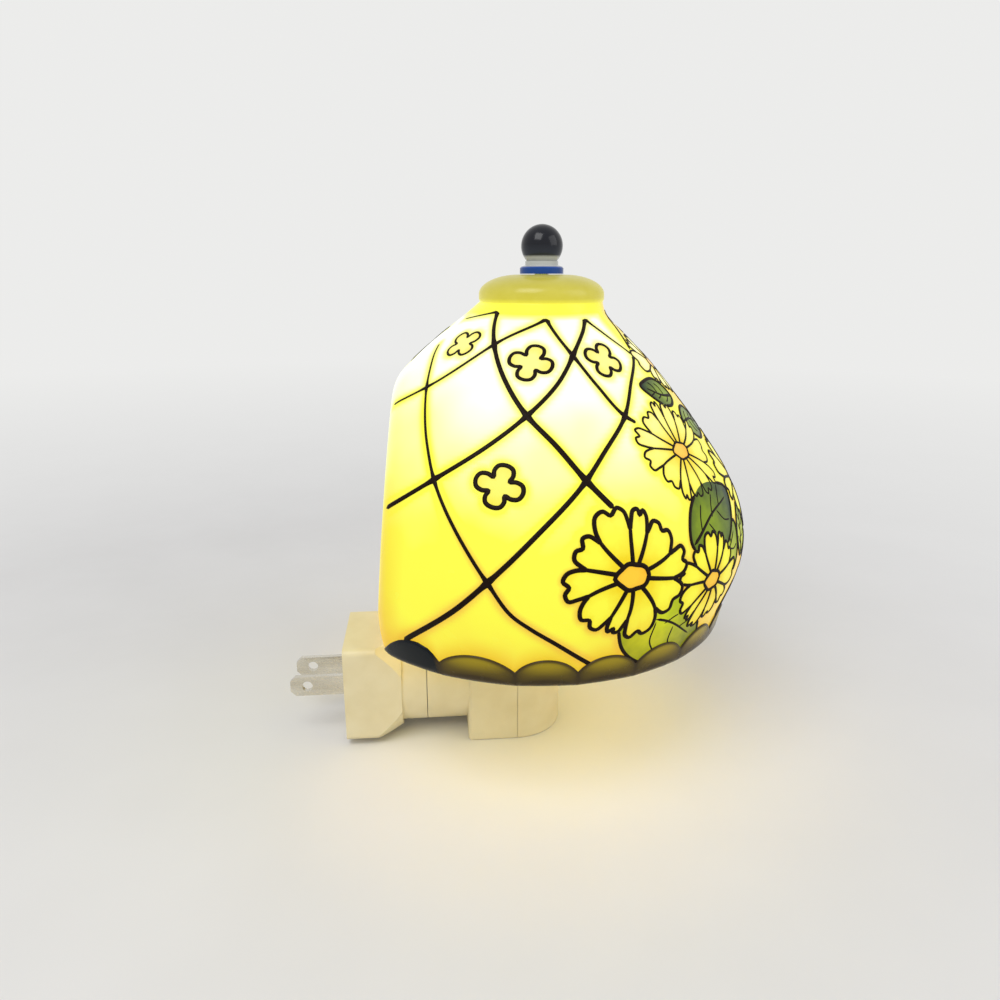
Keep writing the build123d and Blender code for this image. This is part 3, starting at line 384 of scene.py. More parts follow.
def blended(finish, factor, first, second, how="MIX"):
    """Two colours blended by a factor; each is a socket or plain values; returns the result socket."""
    blend = finish.node_tree.nodes.new("ShaderNodeMix")
    blend.data_type = "RGBA"
    blend.blend_type = how
    # the mixing node's inputs for colours are 0, 6 and 7, and its output is 2
    for value, place in ((factor, 0), (first, 6), (second, 7)):
        if isinstance(value, bpy.types.NodeSocket):
            finish.node_tree.links.new(value, blend.inputs[place])
        else:
            blend.inputs[place].default_value = value if place == 0 else (*value, 1)
    return blend.outputs[2]


def paint(piece, name, values):
    """Keeps a number per point of the piece, for its finish to read."""
    layer = piece.data.attributes.new(name, "FLOAT", "POINT")
    layer.data.foreach_set("value", np.asarray(values, np.float32).ravel())


def painted(finish, name):
    """The number that paint() kept; returns its socket."""
    layer = finish.node_tree.nodes.new("ShaderNodeAttribute")
    layer.attribute_name = name
    return layer.outputs["Fac"]


def reckoned(tree, operation, first, second):
    """Two numbers put together; returns the result socket."""
    node = wired(tree, "Math", first, second)
    node.operation = operation
    return node.outputs[0]


def through_light(finish, held_back=None):
    """Painted light through the wall: white near the bulb, deep orange-yellow far off; returns its colour
    socket.

    held_back is a socket that says, in metres, how much further off the wall seems.
    """
    tree = finish.node_tree
    away = wired(tree, "VectorMath", wired(tree, "TexCoord").outputs["Object"], bulb_heart)
    away.operation = "DISTANCE"
    drift = spread(finish, grain(finish, light_patches, 2.0), -light_drift, light_drift)
    off = reckoned(tree, "ADD", away.outputs["Value"], drift)
    if held_back:
        off = reckoned(tree, "ADD", off, held_back)
    near = spread(finish, off, 1.0, 0.0, white_reach, amber_reach)
    far_tones = [(0.0, dim_light_amber), (0.13, gold), (0.30, lemon), (0.50, lemon)]
    near_tones = [(0.64, cream), (0.78, straw), (0.94, white_hot)]
    return ramp(finish, near, *far_tones, *near_tones)


porcelain, porcelain_shader = new_finish("porcelain", porcelain_base, 0.22)
porcelain_shader.inputs["Emission Strength"].default_value = 1.0
wall_light = through_light(porcelain, painted(porcelain, "held_back"))
# painted shade: where less light comes through, the glow and the base colour both turn amber
wall_light = blended(porcelain, painted(porcelain, "dim_light_amber"), wall_light, dim_light_amber)
join(porcelain, wall_light, porcelain_shader, "Emission Color")
wall_base = blended(porcelain, painted(porcelain, "dim_light_amber"), porcelain_base, dim_light_base)
join(porcelain, wall_base, porcelain_shader, "Base Color")
porcelain_shader.inputs["Specular IOR Level"].default_value = 0.2
ripple = grain(porcelain, 7 * mm, 2.0)
emboss(porcelain, porcelain_shader, ripple, 0.12 * mm, 0.25)
join(porcelain, spread(porcelain, ripple, 0.18, 0.28), porcelain_shader, "Roughness")


def height_share(finish, low, high):
    """How far up a point is between two heights, from 0 to 1; returns its socket."""
    place = wired(finish.node_tree, "TexCoord").outputs["Object"]
    height = wired(finish.node_tree, "SeparateXYZ", place).outputs["Z"]
    return spread(finish, height, 0.0, 1.0, low, high)


# the cap stands above the bulb's light, and its painted glow is dim, least at its top
cap_z = rim_z + crown
cap_edge = cap_z + 0.2 * mm
cap_finish, cap_shader = new_finish("cap_porcelain", (0.42, 0.39, 0.12), 0.3)
cap_shader.inputs["Emission Strength"].default_value = 1.0
cap_cloud = grain(cap_finish, 6 * mm, 3.0)
cap_base = ramp(cap_finish, cap_cloud, (0.3, (0.32, 0.28, 0.035)), (0.7, (0.37, 0.33, 0.065)))
join(cap_finish, cap_base, cap_shader, "Base Color")
cap_stops = [(0.0, (0.60, 0.56, 0.004)), (0.16, (0.34, 0.30, 0.002)), (1.0, (0.15, 0.135, 0.004))]
cap_glow = ramp(cap_finish, height_share(cap_finish, cap_edge, cap_top), *cap_stops)
join(cap_finish, cap_glow, cap_shader, "Emission Color")
emboss(cap_finish, cap_shader, cap_cloud, 0.1 * mm, 0.25)

skirt_r = 17.6 * mm
skirt_top = cap_z + 2.3 * mm
skirt_low = 1.0 * mm
skirt_tuck = 0.3 * mm
seat_r = 6.4 * mm
hole_r = 2.6 * mm
bore_r = 14.4 * mm
ceiling = cap_top - 5.7 * mm
hollow_top = 80.7 * mm
hollow_top_r = 22.6 * mm
rim_r = wall / 2
dome_steps = 12
rim_steps = 8
row_gap = 1.0 * mm
column_gap = 0.75        # degrees
full_turn = np.radians(np.arange(0, 360, column_gap))
loops = [level_ring(full_turn, cap_x, hole_r, cap_top)]
for lift in np.linspace(math.pi / 2, 0, dome_steps + 1):
    dome_r = seat_r + (skirt_r - seat_r) * math.cos(lift)
    dome_z = skirt_top + (cap_top - skirt_top) * math.sin(lift)
    loops.append(level_ring(full_turn, cap_x, dome_r, dome_z))
loops.append(level_ring(full_turn, cap_x, skirt_r, cap_z + skirt_low))
loops.append(level_ring(full_turn, cap_x, skirt_r - skirt_tuck, cap_z + skirt_tuck))
levels = np.arange(crown, rim_r, -row_gap)
loops += [wall_points(full_turn, height) for height in levels]
inner_start = len(loops) * len(full_turn)    # the outer face's polygons come first
for roll in np.linspace(0, math.pi, rim_steps + 1):
    loops.append(wall_points(full_turn, rim_r * (1 - math.sin(roll)), rim_r * (1 - math.cos(roll))))
for height in levels[::-1]:
    if height < hollow_top:
        loops.append(wall_points(full_turn, height, wall * steepness(height)))
loops.append(level_ring(full_turn, level_circle(hollow_top)[0], hollow_top_r, rim_z + hollow_top))
for radius, z in ((bore_r, rim_z + hollow_top), (bore_r, ceiling), (hole_r, ceiling)):
    loops.append(level_ring(full_turn, cap_x, radius, z))
shade_skin = shade_piece("porcelain_shade", *skinned(loops, back_to_start=True), porcelain)
shade_skin.data.materials.append(cap_finish)
skin_z = [vertex.co.z for vertex in shade_skin.data.vertices]
for polygon in shade_skin.data.polygons[:inner_start]:
    polygon.material_index = int(min(skin_z[v] for v in polygon.vertices) > cap_edge)

# Hem. A relief of seventeen low scallops round the rim, cast with the shade and glazed smoke brown, and
# navy at the corners; light through each scallop is painted on, olive and glowing in its middle below
# its edge, and brown towards its sides and the rim.
hem_top = 8.4 * mm
hem_valley = 4.4 * mm
mouth_centre, mouth_r = (float(value) for value in level_circle(np.array(0.0)))
hem_end = math.degrees(math.acos((cap_x - back_at_rim + back_tuck - mouth_centre) / mouth_r))
# degrees that each scallop takes: the one at the corner, the next one, and the rest between
corner_span = 22
next_span = 20
like_scallops = 13
like_span = (2 * hem_end - 2 * (corner_span + next_span)) / like_scallops
hem_spans = [corner_span, next_span] + [like_span] * like_scallops + [next_span, corner_span]
hem_radius = 58.0 * mm
arch_columns = 16
# the scallop next to the flat back runs down to the rim there: degrees from the corner, height
corner_scallop = [(0, 0.9), (2.6, 2.7), (6.3, 5.5), (9.9, 7.6), (13.3, 8.7), (16.2, 8.9)]
corner_scallop += [(19.5, 7.7), (21.1, 5.9), (22, 4.4)]
corner_along, corner_edge = np.array(corner_scallop).T
hem_columns = []         # each is its turn, its edge's height, how near the middle, how dark
start = -hem_end
for number, span in enumerate(hem_spans):
    half = math.radians(span) / 2 * hem_radius
    rise = hem_top - hem_valley
    arch_r = (half**2 + rise**2) / (2 * rise)
    at_corner = number in (0, len(hem_spans) - 1)
    for share in np.arange(arch_columns) / arch_columns:
        if at_corner:
            from_corner = span * (share if number == 0 else 1 - share)
            edge = float(np.interp(from_corner, corner_along, corner_edge)) * mm
        else:
            edge = hem_top - arch_r + math.sqrt(arch_r**2 - ((2 * share - 1) * half) ** 2)
        turn = math.radians(start + span * share)
        hem_columns.append((turn, edge, 1 - (2 * share - 1) ** 2, float(at_corner)))
    start += span
hem_columns.append((math.radians(hem_end), corner_scallop[0][1] * mm, 0.0, 1.0))
hem_turns, hem_edge, hem_middle, hem_dark = np.array(hem_columns).T


def down_and_round(turns, runs, proud):
    """Points that far proud of the wall, at runs up from the rim's roll or, below 0, round it."""
    roll = np.clip(-runs / rim_r, 0, math.pi)
    roll_r = rim_r + proud
    inner_height = rim_r + np.maximum(-runs - math.pi * rim_r, 0)
    on_wall = wall_points(turns, rim_r + runs) + outward(turns, rim_r + np.maximum(runs, 0)) * proud
    on_roll = wall_points(turns, rim_r - roll_r * np.sin(roll), rim_r - roll_r * np.cos(roll))
    on_inner = wall_points(turns, inner_height, wall + proud)
    runs = runs[:, None]
    return np.where(runs > 0, on_wall, np.where(runs > -math.pi * rim_r, on_roll, on_inner))


# how far below the scallop's edge, then how proud of the wall, in mm
edge_profile = [(0.0, -0.06), (0.06, 0.26), (0.3, 0.42), (0.8, 0.45)]
# the share of the rest of the way down and round to the inner face, then how proud, in mm
body_profile = [(0, 0.45), (0.5, 0.45), (0.95, 0.1), (1, -0.05)]
body_rows = 20
hem_start = hem_edge - rim_r
hem_stop = -math.pi * rim_r - 1 * mm
# the hem's painted light: a share for each point, most in each scallop's middle just below its edge, none
# from about halfway down
hem_rows, hem_painted_glow = [], []
for drop, proud in edge_profile:
    hem_rows.append(down_and_round(hem_turns, hem_start - drop * mm, proud * mm))
    hem_painted_glow.append(hem_middle * drop)
for share in np.linspace(0, 1, body_rows + 1)[1:]:
    runs = (hem_start - edge_profile[-1][0] * mm) * (1 - share) + hem_stop * share
    proud = np.interp(share, *zip(*body_profile)) * mm
    hem_rows.append(down_and_round(hem_turns, runs, proud))
    hem_painted_glow.append(hem_middle * np.clip(1 - share * 2.2, 0, 1) ** 0.8)

hem_brown = (0.050, 0.034, 0.013)
# the olive base colour is painted light, where light comes through a scallop
hem_lit_olive = (0.16, 0.115, 0.012)
hem_navy = (0.004, 0.007, 0.010)
no_light = (0.0, 0.0, 0.0)
hem_glaze, hem_shader = new_finish("hem_glaze", hem_brown, 0.25)
hem_shader.inputs["Specular IOR Level"].default_value = 0.12
hem_body = ramp(hem_glaze, painted(hem_glaze, "painted_glow"), (0.05, hem_brown), (0.75, hem_lit_olive))
hem_glow_stops = [(0.0, no_light), (0.35, (0.02, 0.014, 0.0006)), (0.9, (0.17, 0.13, 0.003))]
hem_glow = ramp(hem_glaze, painted(hem_glaze, "painted_glow"), *hem_glow_stops)
hem_navy_share = painted(hem_glaze, "dark")
join(hem_glaze, blended(hem_glaze, hem_navy_share, hem_body, hem_navy), hem_shader, "Base Color")
join(hem_glaze, blended(hem_glaze, hem_navy_share, hem_glow, no_light), hem_shader, "Emission Color")
hem_shader.inputs["Emission Strength"].default_value = 1.0
hem_pool = grain(hem_glaze, 3 * mm, 3.0)
emboss(hem_glaze, hem_shader, hem_pool, 0.08 * mm, 0.3)
join(hem_glaze, spread(hem_glaze, hem_pool, 0.15, 0.3), hem_shader, "Roughness")
hem_band = shade_piece("hem_glaze", *skinned(hem_rows, around=False), hem_glaze)
paint(hem_band, "painted_glow", hem_painted_glow)
paint(hem_band, "dark", np.tile(hem_dark, (len(hem_rows), 1)))

# painted shade: the wall's glow and base colour are turned amber above the hem and beside the corners,
# where the wall is thick, and at the front, which is furthest from the bulb
low_reach = 6 * mm
corner_reach = 9 * mm
corner_rise = 50 * mm
front_spread = 22       # degrees
skin_points = np.array([vertex.co for vertex in shade_skin.data.vertices])
skin_heights = np.clip(skin_points[:, 2] - rim_z, 0, crown)
skin_centres, skin_radii = level_circle(skin_heights)
skin_turns = np.arctan2(skin_points[:, 1], skin_points[:, 0] - skin_centres)
far_half = slice(len(hem_turns) // 2, None)
above_hem = skin_heights - np.interp(np.abs(skin_turns), hem_turns[far_half], hem_edge[far_half])
flat_share = (skin_centres - (cap_x - back_at_rim + skin_heights * back_lean)) / skin_radii
corner_turns = np.arccos(-np.clip(flat_share, -1, 1))
beside_corner = np.abs(np.abs(skin_turns) - corner_turns) * skin_radii
low_dim_light = np.clip(1 - above_hem / low_reach, 0, 1) ** 1.5
low_corner = np.clip(1 - skin_heights / corner_rise, 0, 1) ** 0.5
corner_dim_light = np.clip(1 - beside_corner / corner_reach, 0, 1) * low_corner
front_share = np.clip(1.9 - np.abs(np.degrees(skin_turns)) / front_spread, 0, 1)
skin_dim_light = 1 - (1 - 0.7 * low_dim_light) * (1 - 0.85 * corner_dim_light) * (1 - 0.22 * front_share)
paint(shade_skin, "dim_light_amber", skin_dim_light)

# Quatrefoils and garland. Brown-black enamel lines, trailed on by hand a fifth of a millimetre high
# round flat fields of thinner enamel: straw-yellow lobes and petals, orange hearts, green leaves.
# They are fired on one over another and lit from behind.
enamel = mottled("line_enamel", (0.012, 0.004, 0.001), (0.006, 0.002, 0.0), 0.45, 1.5 * mm, bump=0.03 * mm)
enamel.node_tree.nodes["Principled BSDF"].inputs["Specular IOR Level"].default_value = 0.1
# a line's profile: how far across from its middle, as a share, and how high, in mm
bead = [(-1.0, -0.05), (-0.85, 0.10), (-0.45, 0.18), (0.0, 0.20), (0.45, 0.18), (0.85, 0.10), (1.0, -0.05)]
full_width = 1.0 * mm   # a line narrower than this is also lower
layer_lift = 0.035 * mm
lowest_motif = 3.5 * mm


def flowing(knots, pieces, closed=False):
    """Rows on a smooth line through rows of numbers, spaced by the first two."""
    knots = np.array(knots, float)
    if closed:
        knots = np.vstack([knots[-1:], knots, knots[:2]])
    along = np.concatenate([[0], np.cumsum(np.linalg.norm(np.diff(knots[:, :2], axis=0), axis=1))])
    slopes = np.gradient(knots, along, axis=0)
    first, last = (1, len(knots) - 2) if closed else (0, len(knots) - 1)
    rows = []
    for k in range(first, last):
        step = along[k + 1] - along[k]
        for t in np.arange(pieces) / pieces:
            rows.append(eased(t, step, knots[k], slopes[k], knots[k + 1], slopes[k + 1]))
    if not closed:
        rows.append(knots[-1])
    return np.array(rows)


def trail(turns, heights, widths, closed=False, on=0.0):
    """A raised line of enamel on the wall or, that much higher, on a field; returns points and faces."""
    points, normals = wall_points(turns, heights), outward(turns, heights)
    ahead = np.roll(points, -1, 0) - np.roll(points, 1, 0) if closed else np.gradient(points, axis=0)
    side = np.cross(normals, ahead)
    side /= np.linalg.norm(side, axis=1, keepdims=True)
    half = np.asarray(widths)[:, None] / 2
    thick = np.minimum(half / (full_width / 2), 1)
    rows = [points + side * half * across + normals * (thick * lift * mm + on) for across, lift in bead]
    loops = np.stack(rows, 1)
    return skinned(loops, around=False, back_to_start=closed)


def rounded_ends(points, widths):
    """Widths drawn in to round ends along an open line."""
    run = np.concatenate([[0], np.cumsum(np.linalg.norm(np.diff(points, axis=0), axis=1))])
    from_end = np.minimum(run, run[-1] - run)
    share = np.clip(from_end / (widths / 2), 0.02, 1)
    return widths * np.sqrt(1 - (1 - share) ** 2)


def gathered(parts):
    """Several points-and-faces pairs as one."""
    points, faces = [], []
    for more_points, more_faces in parts:
        base = sum(len(p) for p in points)
        points.append(more_points)
        faces += [tuple(base + i for i in face) for face in more_faces]
    return np.vstack(points), faces


def around_spot(turn, height, points):
    """Turns and heights of points given in mm to the right of and above a spot on the wall."""
    points = np.asarray(points, float) * mm
    heights = height * mm + points[:, 1] / steepness(np.array([height * mm]))[0]
    heights = np.clip(heights, lowest_motif, crown)
    return math.radians(turn) + points[:, 0] / level_circle(heights)[1], heights


def turned(points, degrees):
    """Points turned about the spot they are given from."""
    c, s = math.cos(math.radians(degrees)), math.sin(math.radians(degrees))
    return np.asarray(points, float) @ np.array([[c, s], [-s, c]])


def inside(points, outline):
    """Which points lie inside an outline."""
    x, y = np.asarray(points, float).T[:, :, None]
    x0, y0 = outline.T
    x1, y1 = np.roll(outline, -1, 0).T
    crosses = (y0 > y) != (y1 > y)
    with np.errstate(divide="ignore", invalid="ignore"):
        to_the_left = crosses & (x < (x1 - x0) * (y - y0) / (y1 - y0) + x0)
    return to_the_left.sum(1) % 2 == 1


# motifs are fields and lines, from the lowest up: a line ends where a later motif's field covers it
motif_fields, motif_lines = [], []


def add_field(kind, layer, turn, height, outline, heart, deep=None, rings=9):
    """Lays enamel inside an outline on this layer; it deepens outwards from a point, and by deep()."""
    outline, heart = np.asarray(outline), np.asarray(heart)
    loops, depths = [], []
    for share in np.linspace(0.02, 1, rings):
        points = heart + (outline - heart) * share
        turns, heights = around_spot(turn, height, points)
        loops.append(wall_points(turns, heights) + outward(turns, heights) * layer * layer_lift)
        depths.append(1 - (1 - 0.6 * share**2) * (1 - (deep(points) if deep else 0)) + 0 * points[:, 0])
    points, faces = skinned(loops)
    faces.append(tuple(range(len(outline))))
    field = {"kind": kind, "spot": (turn, height), "skin": (points, faces)}
    field["depth"] = np.concatenate(depths)
    field["edge"] = np.column_stack(around_spot(turn, height, outline))
    motif_fields.append(field)


def add_line(layer, turn, height, line, width, closed=False):
    """Trails a raised line; width is one number or one for each point, in mm."""
    turns, heights = around_spot(turn, height, line)
    motif = {"spot": (turn, height), "layer": layer, "closed": closed, "after": len(motif_fields)}
    motif["rows"] = np.column_stack([turns, heights, np.broadcast_to(width, len(turns)) * mm])
    motif_lines.append(motif)


lobe = [(0.34, -0.34), (0.61, -0.40), (0.89, -0.31), (1.0, 0.0), (0.89, 0.31), (0.61, 0.40)]
quatrefoil_knots = np.vstack([turned(lobe, 90 * quarter) for quarter in range(4)])
# turn, height, size across and up in mm, twist and line width
quatrefoils = [
    (-138.6, 80.2, 4.6, 4.8, 52, 0.75),
    (-97.5, 76.5, 5.6, 5.6, -16, 1.05),
    (-60.9, 76.6, 5.2, 5.6, -28, 1.0),
    (-105.8, 50.0, 5.9, 5.4, -17, 1.2),
    (48.4, 72.5, 5.0, 5.2, 20, 0.95),
    (88.4, 72.5, 5.2, 5.0, -15, 1.0),
    (128.4, 73.0, 5.0, 5.2, 25, 0.95),
    (68.4, 47.5, 5.6, 5.4, -20, 1.15),
    (108.4, 47.5, 5.4, 5.7, 30, 1.15),
]
for turn, height, across, up, twist, width in quatrefoils:
    outline = flowing(turned(quatrefoil_knots, twist) * (across, up), 4, closed=True)
    add_field("straw", 1, turn, height, outline, (0, 0))
    add_line(1, turn, height, outline, width, closed=True)

# a leaf is its layer, the turn and height of its foot, its length, half width, bearing and tone
leaves = [
    (1, -78.0, 19.5, 32.0, 10.5, -24, "light"),
    (2, -46.5, 20.0, 19.0, 6.2, 52, "light"),
    (3, -57.5, 33.5, 27.0, 8.6, 20, "dark"),
    (1, -36.0, 8.0, 16.0, 5.4, 24, "dark"),
    (1, -33.0, 60.0, 15.0, 5.0, -12, "dark"),
    (2, -4.0, 27.0, 17.0, 5.6, -76, "dark"),
    (1, 1.0, 51.0, 16.0, 5.2, 66, "light"),
    (1, 3.0, 12.0, 20.0, 5.6, 12, "light"),
    (1, 22.0, 43.0, 15.0, 5.2, 66, "dark"),
    (1, -3.0, 58.0, 14.0, 4.6, 124, "light"),
    (2, -31.0, 24.0, 14.0, 4.8, 75, "light"),
    (1, 2.0, 40.0, 13.0, 4.6, 95, "dark"),
    (1, 18.0, 66.0, 13.0, 4.4, 35, "dark"),
    (1, 24.0, 20.0, 15.0, 5.0, -30, "dark"),
    (1, -28.0, 66.0, 14.0, 4.4, 160, "dark"),
    (1, -9.0, 80.0, 12.0, 4.0, 20, "light"),
]
leaf_shape = [(0, 0), (0.14, -0.62), (0.44, -1.0), (0.76, -0.68)]
leaf_shape += [(1.0, 0.0), (0.84, 0.5), (0.5, 1.0), (0.18, 0.76)]
vein_starts = [(0.2, 1), (0.34, -1), (0.44, 1), (0.56, -1), (0.64, 1)]    # share of the rib, side
for layer, turn, height, length, half, bearing, tone in leaves:
    outline = turned(flowing(np.array(leaf_shape) * (length, half), 8, closed=True), bearing)
    heart = turned([(length * 0.34, half * 0.1)], bearing)[0]

    def across_leaf(points):
        """Deeper towards the tip."""
        return np.clip(turned(points, -bearing)[:, 0] / length * 1.3 - 0.35, 0, 1) ** 1.2

    add_field(tone + "_leaf", layer, turn, height, outline, heart, across_leaf, rings=14)
    add_line(layer, turn, height, outline, 1.0, closed=True)
    rib = turned(flowing([(0.6, 0), (length * 0.45, half * 0.2), (length * 0.85, 0)], 10), bearing)
    add_line(layer, turn, height, rib, np.linspace(1.05, 0.5, len(rib)))
    for share, side in vein_starts:
        reach = half * side * (0.95 - 0.5 * share)
        vein = [(length * share, half * 0.12)]
        vein += [(length * (share + 0.07), reach * 0.5), (length * (share + 0.17), reach * 0.8)]
        add_line(layer, turn, height, turned(flowing(vein, 6), bearing), 0.5)

# a daisy is its layer, turn, height, heart radius, petal tip radius, petals, twist and line width
daisies = [
    (3, -18.5, 16.5, 3.0, 11.0, 9, 10, 0.8),
    (2, -46.4, 54.4, 3.0, 14.0, 13, 28, 0.65),
    (2, -17.0, 74.0, 2.8, 11.0, 10, 5, 0.7),
    (3, -15.5, 42.0, 3.8, 14.8, 11, 0, 0.9),
    (3, 11.0, 60.5, 2.8, 10.8, 9, 20, 0.7),
    (4, 16.0, 30.5, 3.8, 14.4, 11, 35, 0.9),
    (4, -50.5, 23.2, 3.2, 12.6, 11, 12, 0.9),
    (5, -75.8, 29.4, 4.0, 16.2, 10, 20, 1.15),
]
# a petal's tip as its share of the way across, then out; its sides as shares of the way out
notched_tip = [(0.07, 0.78), (0.17, 0.93), (0.33, 1.0), (0.5, 0.9), (0.64, 1.0), (0.82, 0.98), (0.93, 0.8)]
petal_side = (0, 0.25, 0.45, 0.62)
drawn_side = (-0.03, 0.25, 0.45, 0.67)
for layer, turn, height, heart_r, tip_r, petals, twist, width in daisies:
    length = tip_r - heart_r

    def petal_point(angle, share, reach=1.0):
        """The point this share of the way from the heart out to the petals' tips; petals curl a little."""
        angle = math.radians(angle + 9 * share**2 * math.sin(math.radians(angle * 2 + 40)))
        out = heart_r * (1.12 - 0.3 * abs(math.sin(angle))) * (1 - share) + tip_r * reach * share
        return out * math.cos(angle), out * math.sin(angle) * 0.94

    def rootward(points):
        """Deeper towards the heart."""
        return 0.9 * np.clip(1 - (np.hypot(*points.T) - heart_r) / (0.55 * length), 0, 1) ** 1.4

    sides = [twist + 360 / petals * (n + 0.16 * math.sin(2.4 * n + turn)) for n in range(petals)]
    sides.append(sides[0] + 360)
    rim_line = []
    for n, (start, end) in enumerate(zip(sides, sides[1:])):
        reach = 1 + 0.07 * math.sin(2.3 * n + height)
        up = flowing([petal_point(start, share) for share in petal_side], 5)
        back = flowing([petal_point(end, share) for share in petal_side], 5)[::-1]
        tip = [petal_point(start + (end - start) * across, share, reach) for across, share in notched_tip]
        tip = flowing([up[-1], *tip, back[0]], 4)
        outline = np.vstack([up[:-1], tip, back[1:]])
        rim_line.append(tip[:-1])
        add_field("petal", layer, turn, height, outline, petal_point((start + end) / 2, 0.5), rootward)
        side = flowing([petal_point(start, share) for share in drawn_side], 5)
        add_line(layer, turn, height, side, np.linspace(1.1, 0.9, len(side)) * width)
    add_line(layer, turn, height, np.vstack(rim_line), width, closed=True)
    heart = [petal_point(angle, 0.0) for angle in range(0, 360, 10)]
    heart = np.array(heart) * (1 + 0.05 * np.sin(np.radians(np.arange(0, 360, 10) * 5 + turn)))[:, None]
    add_field("heart", layer, turn, height, heart, (-0.3 * heart_r, 0.0))
    add_line(layer, turn, height, heart, width * 1.1, closed=True)


def open_runs(covered):
    """Runs of three or more points in a row that nothing covers."""
    runs = np.split(np.arange(len(covered)), np.flatnonzero(np.diff(covered)) + 1)
    return [run for run in runs if len(run) > 2 and not covered[run[0]]]


line_parts, line_points = [], []
for motif in motif_lines:
    rows, closed, on = motif["rows"], motif["closed"], (motif["layer"] - 0.5) * layer_lift
    covered = np.zeros(len(rows), bool)
    for later in motif_fields[motif["after"] :]:
        if later["spot"] != motif["spot"]:
            covered |= inside(rows[:, :2], later["edge"])
    if closed and covered.any():
        # an outline that is partly covered opens where the cover is
        rows, covered = (np.roll(values, -int(np.argmax(covered)), 0) for values in (rows, covered))
        closed = False
    for run in open_runs(covered):
        turns, heights, widths = rows[run].T
        points = wall_points(turns, heights)
        widths = widths if closed else rounded_ends(points, widths)
        line_parts.append(trail(turns, heights, widths, closed, on))
        line_points.append(points)
shade_piece("motif_lines", *gathered(line_parts), enamel)


def lit_enamel(name, base, tint):
    """Coloured enamel with a painted glow from the bulb; base and tint go from shallow to deep."""
    finish, shader = new_finish(name, base[0], 0.3)
    shader.inputs["Emission Strength"].default_value = 1.0
    shader.inputs["Specular IOR Level"].default_value = 0.2
    cloud = grain(finish, 3 * mm, 3.0)
    depth = reckoned(finish.node_tree, "ADD", painted(finish, "depth"), spread(finish, cloud, -0.12, 0.12))
    glow = ramp(finish, depth, (0.1, tint[0]), (0.95, tint[1]))
    join(finish, blended(finish, 1.0, through_light(finish), glow, "MULTIPLY"), shader, "Emission Color")
    join(finish, ramp(finish, depth, (0.1, base[0]), (0.95, base[1])), shader, "Base Color")
    emboss(finish, shader, cloud, 0.05 * mm, 0.3)
    return finish


enamels = {
    "straw": (((0.44, 0.37, 0.05), (0.42, 0.31, 0.01)), ((0.94, 0.86, 0.28), (0.86, 0.70, 0.02))),
    "petal": (((0.50, 0.42, 0.06), (0.46, 0.32, 0.01)), ((0.98, 0.94, 0.45), (0.88, 0.62, 0.03))),
    "heart": (((0.50, 0.27, 0.04), (0.46, 0.16, 0.01)), ((0.95, 0.60, 0.14), (0.90, 0.36, 0.03))),
    "light_leaf": (((0.20, 0.20, 0.003), (0.06, 0.08, 0.002)), ((0.74, 0.78, 0.005), (0.22, 0.30, 0.003))),
    "dark_leaf": (((0.05, 0.08, 0.003), (0.002, 0.009, 0.004)), ((0.30, 0.38, 0.01), (0.003, 0.026, 0.007))),
}
for kind, (base, tint) in enamels.items():
    laid = [field for field in motif_fields if field["kind"] == kind]
    finish = lit_enamel(kind + "_enamel", base, tint)
    fields = shade_piece(kind + "_fields", *gathered([field["skin"] for field in laid]), finish)
    paint(fields, "depth", np.concatenate([field["depth"] for field in laid]))

# Trellis. The same enamel lines, crossing all round the shade and ending at the flowers: thicker
# where the brush slowed and where two lines pool, and drawn out thin towards the crown.

# a line is its width in mm at the first knot and at the last, then its knots as turn, height
near_lines = [
    (0.9, 1.35, (-131.6, 88.1), (-117.6, 79.9), (-107.8, 72.9), (-97.8, 65.0), (-89.6, 58.7),
     (-82.7, 50.9), (-76.9, 44.3)),
    (0.8, 0.6, (-89.4, 86.5), (-117.8, 80.6), (-141.1, 69.8), (-155.6, 64.3)),
    (0.8, 0.9, (-89.4, 86.5), (-77.2, 78.1), (-69.9, 70.8), (-63.4, 64.0), (-60.2, 62.3)),
    (0.9, 1.1, (-57.7, 86.3), (-76.7, 78.1), (-87.3, 71.2), (-97.8, 65.0), (-108.2, 59.1),
     (-124.2, 50.2), (-138.5, 41.6)),
    (0.7, 0.5, (-57.7, 86.3), (-45.9, 81.5), (-37.8, 77.5), (-30.4, 70.8)),
    (0.8, 1.3, (-36.3, 76.9), (-53.3, 70.5), (-63.4, 64.0), (-75.6, 56.7), (-83.3, 50.8),
     (-95.4, 41.4), (-108.9, 28.6), (-117.1, 20.3), (-132.0, 7.9)),
    (0.5, 1.1, (-160.2, 79.5), (-146.0, 72.9), (-135.5, 64.8), (-129.6, 57.8), (-124.2, 50.2),
     (-117.4, 40.9), (-108.9, 28.6), (-103.0, 20.5), (-99.0, 17.5), (-92.6, 13.2), (-82.6, 6.0)),
    (0.6, 0.4, (-131.6, 88.1), (-163.6, 85.9)),
    (0.7, 0.8, (-11.6, 88.0), (-21.0, 84.6), (-36.3, 76.9)),
]
# the far side's lines cross in rows: heights in mm, degrees from row to row, widths in mm
row_heights = (88.0, 79.0, 66.0, 50.5, 28.6, 8.0)
row_step = 20.0
far_widths = (0.75, 1.25)
far_starts = [(turn, side) for turn in (28.4, 68.4, 108.4, 148.4) for side in (1, -1)]
far_starts += [(-11.6, 1), (188.4, -1), (228.4, -1)]
# where the garland ends on the far side, as height, turn
garland_end = [(8, 24), (22, 22), (36, 24), (50, 14), (60, 8), (66, -4), (70, -10), (76, -20)]


def corner_turn(height):
    """Turn, in degrees, at which the round wall meets the flat back."""
    centre, radius = level_circle(height)
    reach = (centre - (cap_x - back_at_rim + height * back_lean)) / radius
    return math.degrees(math.acos(-min(reach, 1)))


